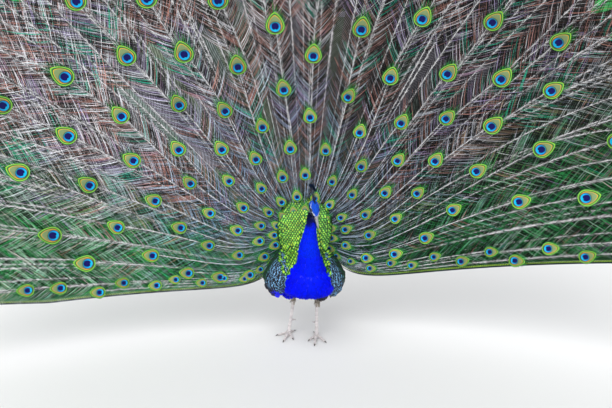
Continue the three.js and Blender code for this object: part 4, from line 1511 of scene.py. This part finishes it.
def spot_material():
    """The rings of an eye-spot: green rim, gold ring, bronze field, cyan disc and dark heart."""
    material, tree, principled = new_material("eye_spots", roughness=0.4, specular_ior_level=0.2)
    across, along = parts_of(tree, feather_uv(tree))
    x = calc(tree, "SUBTRACT", across, 0.5)
    y = calc(tree, "MULTIPLY", along, SPOT_TALL)

    def squares(a, b):
        return calc(tree, "ADD", calc(tree, "MULTIPLY", a, a), calc(tree, "MULTIPLY", b, b))

    def inside(dx, dy, wide, tall):
        """1 inside an oval about dx, dy, and 0 outside it."""
        a = calc(tree, "DIVIDE", calc(tree, "SUBTRACT", x, dx), wide)
        b = calc(tree, "DIVIDE", calc(tree, "SUBTRACT", y, dy), tall)
        return calc(tree, "LESS_THAN", calc(tree, "SQRT", squares(a, b)), 1.0)

    above = calc(tree, "SUBTRACT", y, 0.45)
    beyond = calc(tree, "MAXIMUM", above, 0.0)
    before = calc(tree, "MINIMUM", above, 0.0)
    rise = calc(tree, "MULTIPLY_ADD", beyond, 0.68, before)
    narrowed = calc(tree, "MULTIPLY", beyond, 0.9)
    pointed = calc(tree, "MULTIPLY", calc(tree, "ABSOLUTE", x), narrowed)
    across_drop = calc(tree, "MULTIPLY", calc(tree, "SQRT", squares(x, rise)), 2.0)
    drop_shape = calc(tree, "ADD", across_drop, pointed)
    field = ramp(tree, y, (
        (0.10, (0.70, 0.20, 0.02)), (0.42, (0.50, 0.30, 0.05)), (0.62, (0.20, 0.27, 0.12)),
        (0.95, (0.24, 0.34, 0.14)),
    ))
    rings = ramp(tree, drop_shape, (
        (0.66, (0.80, 0.36, 0.02)), (0.70, (0.85, 0.55, 0.04)), (0.725, (0.02, 0.12, 0.04)),
        (0.82, (0.03, 0.20, 0.06)), (0.85, (0.32, 0.68, 0.05)), (0.905, (0.30, 0.64, 0.06)),
        (0.93, (0.01, 0.10, 0.05)), (0.97, (0.03, 0.20, 0.05)), (1.0, (0.02, 0.10, 0.03)),
    ))
    rim = mix(tree, calc(tree, "GREATER_THAN", drop_shape, 0.665), field, rings)
    blue = ramp(tree, calc(tree, "MULTIPLY_ADD", y, 1.9, -0.27), (
        (0.0, (0.0, 0.52, 0.80)), (0.35, (0.0, 0.36, 0.80)), (0.70, (0.0, 0.24, 0.60)),
        (0.95, (0.0, 0.26, 0.22)),
    ))
    in_disc = inside(0.0, 0.385, 0.265, 0.255)
    both = (inside(side * 0.070, 0.41, 0.108, 0.165) for side in (-1, 1))
    lobes = calc(tree, "MAXIMUM", *both)
    heart = calc(tree, "MAXIMUM", lobes, inside(0.0, 0.48, 0.13, 0.12))
    lined = mix(tree, inside(0.0, 0.375, 0.30, 0.285), rim, (0.07, 0.02, 0.01))
    coloured = mix(tree, heart, mix(tree, in_disc, lined, blue), (0.0, 0.0, 0.10))
    paint(tree, principled, toned(tree, coloured, 0.3, 60.0, 0.35))
    bump(tree, principled, barbed(tree, 110.0, 0.2)["Height"], 0.35, 0.0006)
    return material


def turned(out, side, angle):
    """Out and side directions turned within the fan by an angle."""
    c, s = np.cos(angle)[:, None], np.sin(angle)[:, None]
    return out * c + side * s, side * c - out * s


class MakeSpots(bpy.types.Operator):
    """The eye-spots at the ends of the train feathers, each in its fringe of green barbs"""
    bl_idname = "peacock.spots"
    bl_label = "Eye-spots"

    def execute(self, context):
        spots = made["spots"]
        radius, share, layer, width = spots.T[:4]
        here, out, side, front = fan_frame(radius, share, layer_depth(layer) + 0.012)
        lean = rng.normal(0, 0.10, len(spots))
        along, across = turned(out, side, lean)
        size = width[:, None] * rng.uniform(0.94, 1.06, len(spots))[:, None]
        axes = np.stack((across * size, along * size * SPOT_TALL, front * size), 2)
        places = here - along * size * 0.50
        prototype = spot_prototype()
        white = np.ones((len(spots), 3))
        on_fan("eye_spots", prototype, axes, places, white, spot_material(), 0.022)
        drop(prototype)
        self.fringe(here, along, across, front, size[:, 0])
        return {"FINISHED"}

    def fringe(self, here, along, across, front, size):
        """Loose green and bronze barbs round each eye-spot, longest beyond its tip."""
        prototype = vane("fringe_barb", 1, (0.5, 0.46, 0.34, 0.08), (0, 0.02, 0.02, -0.06), 0.0)
        count = 34
        turn = np.linspace(-2.5, 2.5, count)
        axes, places, dye = [], [], []
        c = colours()
        for n in range(len(here)):
            spin = turn + rng.normal(0, 0.05, count)
            way = along[n] * np.cos(spin)[:, None] + across[n] * np.sin(spin)[:, None]
            reach = size[n] * (0.16 + 0.50 * np.clip(np.cos(spin), 0, 1) ** 4)
            reach = reach * rng.uniform(0.7, 1.3, count)
            axes.append(ribbons(unit(way + along[n] * 0.55), front[n], 0.0022, reach))
            places.append(here[n] + way * size[n] * 0.38 - front[n] * 0.0012)
            dye.append(blended(c.olive[:], c.green[:], rng.random(count)) * 0.6)
        axes, places, dye = (np.concatenate(part) for part in (axes, places, dye))
        material = plumage_material(
            "fringe_barbs", 0.5, cloud=0.6, step=1.0, barbs=5.0, contrast=0.0, gloss=0.2,
        )
        on_fan("spot_fringe", prototype, axes, places, dye, material)
        drop(prototype)


class MakeTail(bpy.types.Operator):
    """Eighteen stiff brown feathers that prop the train up from behind"""
    bl_idname = "peacock.tail"
    bl_label = "Tail feathers"

    def execute(self, context):
        prototype = vane(
            "tail_feather", 4, (0.07, 0.20, 0.33, 0.42, 0.48, 0.50, 0.50, 0.45, 0.30),
            (0, 0, 0.004, 0.006, 0.006, 0.004, 0, 0, 0), 0.010,
        )
        count = 18
        share = np.linspace(-0.92, 0.92, count)
        behind = -0.0165  # the tail stands this far behind the train
        here, _, _, front = fan_frame(np.full(count, 0.11), share, behind)
        there = fan_point(np.full(count, 0.446), share, behind)
        along = there - here
        out = unit(along)
        across = unit(np.cross(out, -front))
        back = np.cross(across, out)
        reach = np.linalg.norm(along, axis=1)[:, None]
        here = here + back * (0.0016 * (np.arange(count) % 2))[:, None]
        axes = np.stack((across * 0.098, along, back * reach), 2)
        dye = np.tile(colours().tail[:], (count, 1))
        material = plumage_material(
            "brown_tail", 0.6, cloud=0.5, step=1.0, barbs=420.0, contrast=0.45,
        )
        on_fan(
            "tail_feathers", prototype, axes, here, dye, material, 0.06, ("tail",),
        )
        quill = quill_prototype()
        places = here + back * 0.0022
        thick = 0.0042
        axes = np.stack((across * thick, along * 0.95, back * thick), 2)
        dye = np.tile(dimmed(colours().rufous, 0.55), (count, 1))
        on_fan("tail_shafts", quill, axes, places, dye, material)
        drop(prototype, quill)
        return {"FINISHED"}


class MakeRimFeathers(bpy.types.Operator):
    """The fish-tail feathers round the rim of the train, which end in two swept points"""
    bl_idname = "peacock.rim_feathers"
    bl_label = "Rim feathers"

    def execute(self, context):
        prototype = vane("rim_barb", 1, (0.5, 0.5, 0.36, 0.10), (0, 0.02, 0.02, -0.03), 0.0)
        axes, places, dye = [], [], []
        c = colours()
        for feather in made["rim"]:
            radius, layer = feather[0], feather[2]
            stations, hand = in_pairs(radius - 0.15, radius - 0.028, 0.0042)
            count = len(stations)
            shares = course(feather, stations)
            here, out, side, front = fan_frame(stations, shares, layer_depth(layer))
            near_end = np.clip((stations - (radius - 0.15)) / 0.12, 0, 1)
            turn = np.radians(34 - 4 * near_end + rng.normal(0, 3, count))
            along = out * np.cos(turn)[:, None] + side * (hand * np.sin(turn))[:, None]
            reach = np.minimum(0.055 + 0.010 * near_end, (radius + 0.012 - stations) / np.cos(turn))
            axes.append(ribbons(along, front, 0.0042, reach))
            places.append(here)
            dye.append(blended(c.olive[:], c.green[:], rng.random(count)))
        axes, places, dye = (np.concatenate(part) for part in (axes, places, dye))
        material = plumage_material("rim_barbs", 0.45, cloud=0.6, step=0.8, barbs=5.0, contrast=0.0)
        on_fan("rim_feathers", prototype, axes, places, dye, material)
        drop(prototype)
        return {"FINISHED"}


# ---------- head ----------
def head_point(forward, side, up):
    way, across, rise = head_axes()
    return np.array(HEAD_CENTRE) + way * forward + across * side + rise * up


def eye_material():
    """Dark glossy eyes: a black pupil in a brown iris, by height over the eye's own equator."""
    material, tree, principled = new_material("dark_eye", roughness=0.06, coat_weight=1.0)
    height = parts_of(tree, put(tree, "UVMap", uv_map="UVMap").outputs["UV"])[1]
    flecks = calc(tree, "MULTIPLY_ADD", noise(tree, 900.0), 0.02, -0.01)
    paint(tree, principled, ramp(tree, calc(tree, "ADD", height, flecks), (
        (0.55, (0.006, 0.005, 0.005)), (0.62, (0.09, 0.035, 0.012)), (0.76, (0.05, 0.018, 0.008)),
        (0.80, 0.002),
    )))
    return material


def bare_material(name, tone, roughness, grain=400.0):
    """Bare skin, horn and claw: one colour with fine mottling and a slight grain."""
    material, tree, principled = new_material(name, roughness=roughness, specular_ior_level=0.4)
    darker, lighter = (tuple(min(share * v, 1) for v in tone) for share in (0.72, 1.15))
    mottle = noise(tree, grain * 0.3, 3.0)
    paint(tree, principled, ramp(tree, mottle, ((0.3, darker), (0.7, lighter))))
    bump(tree, principled, noise(tree, grain), 0.3, 0.0003)
    return material


def ball(segments, rings, radius, place, turn, scale=(1.0, 1.0, 1.0)):
    clear_selection()
    bpy.ops.mesh.primitive_uv_sphere_add(
        segments=segments, ring_count=rings, radius=radius,
        location=place, rotation=turn, scale=scale,
    )
    settle()
    return bpy.context.object


class MakeEyes(bpy.types.Operator):
    """Eyes set in the head, and the lids that close over them"""
    bl_idname = "peacock.eyes"
    bl_label = "Eyes and lids"

    def execute(self, context):
        lid_skin = bare_material("lid_skin", (0.035, 0.037, 0.05), 0.5)
        shine = eye_material()
        across = head_axes()[1]
        for side, label in ((1, "left"), (-1, "right")):
            low, high = (np.array(c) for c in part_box(f"eye_{label}"))
            centre = (low + high) / 2 - across * side * EYE_SET_IN
            turn = Vector(across * side).to_track_quat("Z", "Y").to_euler()
            radius = float((high - low).min() / 2)
            eyeball = ball(32, 20, radius * 0.97, centre, turn)
            finish_piece(eyeball, f"eyeball_{label}", shine, (f"eye_{label}",))
            lids = self.lids(centre, across * side, turn, radius)
            finish_piece(lids, f"lids_{label}", lid_skin)
        return {"FINISHED"}

    def lids(self, centre, outward, turn, radius):
        """A shell just over the eye, opened along the gaze, thickened and rounded at its rim."""
        shell = ball(36, 24, radius, centre, turn)
        up = head_axes()[2]
        mode("EDIT")
        bpy.ops.mesh.select_mode(type="FACE")
        bpy.ops.mesh.select_all(action="DESELECT")
        mode("OBJECT")
        for face in shell.data.polygons:
            rel = (np.array(face.center) - centre) / radius
            out, rise = rel @ outward, rel @ up
            wide = math.sqrt(max(rel @ rel - out ** 2 - rise ** 2, 0.0))
            open_here = (rise / 0.60) ** 2 + (wide / 0.78) ** 2 < 1 and out > 0
            face.select = bool(open_here or out < 0.1)
        mode("EDIT")
        bpy.ops.mesh.delete(type="FACE")
        bpy.ops.mesh.select_mode(type="VERT")
        mode("OBJECT")
        apply_modifier(shell, "SOLIDIFY", thickness=0.0005, offset=1.0)
        apply_modifier(shell, "SUBSURF", levels=1, render_levels=1)
        return shell


class MakeBill(bpy.types.Operator):
    """The horn bill, smoothed from its frame, with a nostril on each side"""
    bl_idname = "peacock.bill"
    bl_label = "Bill"

    def execute(self, context):
        horn = bare_material("bill_horn", colours().horn[:], 0.38)
        for name in ("bill_upper", "bill_lower"):
            half = copy_of(name)
            apply_modifier(half, "REMESH", mode="VOXEL", voxel_size=0.0006)
            apply_modifier(half, "SMOOTH", factor=0.5, iterations=6)
            finish_piece(half, f"{name}_horn", horn, (name,))
        dark = bare_material("nostril", (0.02, 0.016, 0.015), 0.7)
        turn = Euler((HEAD_PITCH, 0.0, HEAD_YAW), "XYZ")
        for side, label in ((1, "left"), (-1, "right")):
            place = head_point(0.042, side * 0.0052, 0.0022)
            nostril = ball(16, 10, 1.0, place, turn, (0.0009, 0.0034, 0.0012))
            finish_piece(nostril, f"nostril_{label}", dark)
        return {"FINISHED"}


class MakeCrest(bpy.types.Operator):
    """The crest: bare-shafted plumes in a fan, each with a blue-black tuft at its tip"""
    bl_idname = "peacock.crest"
    bl_label = "Crest"

    def execute(self, context):
        way, across, _ = head_axes()
        level = unit(np.array((way[0], way[1], 0.0)))
        root = head_point(-0.008, 0.0, 0.012)
        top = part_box("crest")[1][2] - 0.004
        lean = -0.114  # sideways for each part of height
        count = sizes().crest_plumes
        quill = quill_prototype()
        outline, curl = (0.08, 0.34, 0.50, 0.46, 0.20), (0, 0.02, 0.02, 0, -0.03)
        tuft = vane("crest_tuft", 2, outline, curl, 0.06)
        shafts, starts, tufts_at, tips = [], [], [], []
        for number in range(count):
            spread = (number + 0.5) / count * 2 - 1
            height = top - root[2] - 0.007 * spread ** 2 - rng.uniform(0, 0.004)
            foot = root - level * 0.006 * spread + across * rng.uniform(-0.0015, 0.0015)
            head = root + np.array((lean * height, 0, height)) - level * 0.029 * spread
            head = head + across * rng.uniform(-0.0045, 0.0045)
            along = head - foot
            side = unit(np.cross(along, across))
            face = unit(np.cross(side, along))
            shafts.append(np.stack((side * 0.0013, along * 0.86, face * 0.0013), 1))
            starts.append(foot)
            for turn in (-0.75, -0.38, 0.0, 0.38, 0.75):
                way_out = unit(unit(along) + side * turn + face * rng.uniform(-0.3, 0.3))
                wide = unit(np.cross(way_out, face))
                flat = np.cross(wide, way_out)
                reach = 0.0155 - 0.004 * abs(turn)
                tufts_at.append(np.stack((wide * 0.0052, way_out * reach, flat * reach), 1))
                tips.append(foot + along * 0.83)
        starts, tips = np.array(starts), np.array(tips)
        flat_roots = np.tile((0.5, 0.9), (len(starts), 1))
        pale = np.tile((0.012, 0.018, 0.045), (len(starts), 1))
        stems = strew("crest_shafts", quill, np.array(shafts), starts, flat_roots, pale)
        finish_piece(stems, "crest_shafts", ivory_material(), ("crest",))
        navy = np.tile((0.004, 0.022, 0.075), (len(tips), 1))
        material = plumage_material(
            "crest_plumes", 0.5, step=0.9, barbs=60.0, contrast=0.3, gloss=0.3,
        )
        tip_roots = np.tile((0.5, 0.92), (len(tips), 1))
        plumes = strew("crest_tufts", tuft, np.array(tufts_at), tips, tip_roots, navy)
        finish_piece(plumes, "crest_tufts", material)
        drop(quill, tuft)
        return {"FINISHED"}


# ---------- legs ----------
LEGS = {
    "left": {
        "hock": (0.054, 0.045, 0.140), "ankle": (0.054, 0.030, 0.015),
        "toes": {"outer": (0.038, -0.061), "middle": (-0.010, -0.084), "inner": (-0.036, -0.048)},
    },
    "right": {
        "hock": (-0.036, 0.067, 0.140), "ankle": (-0.056, 0.052, 0.015),
        "toes": {"outer": (-0.054, -0.026), "middle": (-0.022, -0.079), "inner": (0.020, -0.060)},
    },
}


def plates_along(start, end, count, view, width, found):
    """Adds a row of scute plates on the skin, met from the view side, from start to end."""
    start, end = np.array(start), np.array(end)
    for n in range(count):
        middle = start + (end - start) * (n + 0.5) / count
        above = Vector(middle + np.array(view) * 0.05)
        hit, normal, face, _ = made["tree"].ray_cast(above, Vector(view) * -1)
        if hit is None or made["zones"][face] not in ("shank", "foot", "thigh"):
            continue
        along = unit(end - start)
        normal = unit(np.array(normal))
        long = np.linalg.norm(end - start) / count * 1.35
        across = unit(np.cross(along, normal))
        up = np.cross(across, along)
        found["axes"].append(np.stack((across * width, along * long, up * width), 1))
        found["places"].append(np.array(hit) - along * long * 0.5 + normal * 0.0001)
        found["roots"].append(made["roots"][face])


class MakeScutes(bpy.types.Operator):
    """Horny plates down the front of each shank and along the top of each toe"""
    bl_idname = "peacock.scutes"
    bl_label = "Leg plates"

    def execute(self, context):
        clear_selection()
        plate = vane("scute", 4, (0.40, 0.49, 0.50, 0.42), (0.0, 0.06, 0.10, 0.05), 0.0)
        for vertex in plate.data.vertices:
            vertex.co.z -= 1.1 * vertex.co.x ** 2
        found = {"axes": [], "places": [], "roots": []}
        for leg in LEGS.values():
            hock = np.array(leg["hock"]) + (0, FEET_Y, 0)
            ankle = np.array(leg["ankle"]) + (0, FEET_Y, 0)
            plates_along(hock, ankle, 21, (0, -1, 0), 0.0125, found)
            for dx, dy in leg["toes"].values():
                tip = ankle + np.array((dx, dy, -0.006))
                base = ankle + np.array((dx, dy, 0.0)) * 0.22 + (0, 0, -0.004)
                count = max(7, int(math.hypot(dx, dy) / 0.0052))
                plates_along(base, tip, count, (0, 0, 1), 0.0108, found)
        axes, places, roots = (np.array(found[key]) for key in ("axes", "places", "roots"))
        dye = np.tile(dimmed(colours().leg, 1.06), (len(places), 1))
        piece = strew("leg_plates", plate, axes, places, roots, dye)
        material, tree, principled = new_material(
            "leg_horn", roughness=0.5, specular_ior_level=0.35,
        )
        dyed = toned(tree, stored(tree, "dye"), 0.3, 90.0, 0.25)
        along = parts_of(tree, feather_uv(tree))[1]
        edge = ramp(tree, along, ((0.0, 0.6), (0.22, 1.0), (0.85, 1.0), (1.0, 0.7)))
        paint(tree, principled, mix(tree, 1.0, dyed, edge, "MULTIPLY"))
        finish_piece(piece, "leg_plates", material)
        drop(plate)
        return {"FINISHED"}


class MakeClaws(bpy.types.Operator):
    """Claws and spurs, smoothed from their frame"""
    bl_idname = "peacock.claws"
    bl_label = "Claws and spurs"

    def execute(self, context):
        dark = bare_material("claw_horn", colours().claw[:], 0.35, 700.0)
        pale = bare_material("spur_horn", tuple(0.9 * v for v in colours().leg), 0.45, 700.0)
        for side in SIDES:
            nodes = [f"claw_{toe}_{side}" for toe in TOES]
            claws = copy_of(*nodes)
            apply_modifier(claws, "SUBSURF", levels=1, render_levels=1)
            finish_piece(claws, f"claws_{side}", dark, nodes)
            spur = copy_of(f"spur_{side}")
            apply_modifier(spur, "SUBSURF", levels=1, render_levels=1)
            finish_piece(spur, f"spur_horn_{side}", pale, (f"spur_{side}",))
        return {"FINISHED"}


# ---------- stage ----------
class MakeStage(bpy.types.Operator):
    """A plain pale floor, soft studio light and the camera"""
    bl_idname = "peacock.stage"
    bl_label = "Stage"

    def execute(self, context):
        clear_selection()
        bpy.ops.mesh.primitive_plane_add(size=60.0)
        floor = bpy.context.object
        floor.name = "floor"
        material, _, principled = new_material("studio_floor", roughness=0.85)
        principled.inputs["Base Color"].default_value = rgba(colours().floor)
        floor.data.materials.append(material)
        world = bpy.data.worlds.new("studio")
        world.use_nodes = True
        sky = world.node_tree.nodes["Background"]
        sky.inputs["Color"].default_value = (0.93, 0.95, 1.0, 1.0)
        sky.inputs["Strength"].default_value = 0.55
        context.scene.world = world
        for name, turn, strength, softness in (
            ("key_light", (38, 0, -28), 2.1, 55), ("fill_light", (62, 0, 42), 0.8, 90),
            ("back_light", (-50, 0, 12), 0.7, 90),
        ):
            light = bpy.data.lights.new(name, "SUN")
            light.energy = strength
            light.angle = math.radians(softness)
            lamp = placed(name, light)
            lamp.rotation_euler = [math.radians(angle) for angle in turn]
            lamp.location = (0.0, 0.0, 4.0)
        camera = bpy.data.cameras.new("camera")
        camera.sensor_fit = "HORIZONTAL"
        camera.sensor_width = 36.0
        camera.lens = 37.65
        holder = placed("camera", camera)
        holder.location = (0.0121, -2.24 + FEET_Y, 1.240)
        holder.rotation_euler = (math.radians(73), 0.0, 0.0)
        context.scene.camera = holder
        context.scene.view_settings.view_transform = "Standard"
        return {"FINISHED"}


MAKERS = (
    MakeSkin, MakeNeckCoat, MakeHeadCoat, MakeBackCoat, MakeWingCoat, MakeQuills, MakeDown,
    MakeEyes, MakeBill, MakeCrest, MakeScutes, MakeClaws,
    MakeTrainWeb, MakeShafts, MakeBarbs, MakeSpots, MakeRimFeathers, MakeTail, MakeStage,
)


class PeacockPanel(bpy.types.Panel):
    """Lists the peacock's pieces"""
    bl_idname = "VIEW3D_PT_peacock"
    bl_label = "Peacock"
    bl_space_type = "VIEW_3D"
    bl_region_type = "UI"
    bl_category = "Peacock"

    def draw(self, context):
        for maker in MAKERS:
            self.layout.operator(maker.bl_idname)
        for settings in (context.scene.peacock_sizes, context.scene.peacock_colours):
            for key in settings.bl_rna.properties.keys():
                if key not in ("rna_type", "name"):
                    self.layout.prop(settings, key)


CLASSES = (PeacockSizes, PeacockColours, *MAKERS, PeacockPanel)


def register():
    for cls in CLASSES:
        bpy.utils.register_class(cls)
    bpy.types.Scene.peacock_sizes = bpy.props.PointerProperty(type=PeacockSizes)
    bpy.types.Scene.peacock_colours = bpy.props.PointerProperty(type=PeacockColours)


def unregister():
    del bpy.types.Scene.peacock_colours
    del bpy.types.Scene.peacock_sizes
    for cls in reversed(CLASSES):
        bpy.utils.unregister_class(cls)


def main():
    register()
    for maker in MAKERS:
        area, name = maker.bl_idname.split(".")
        getattr(getattr(bpy.ops, area), name)()


if __name__ == "__main__":
    main()
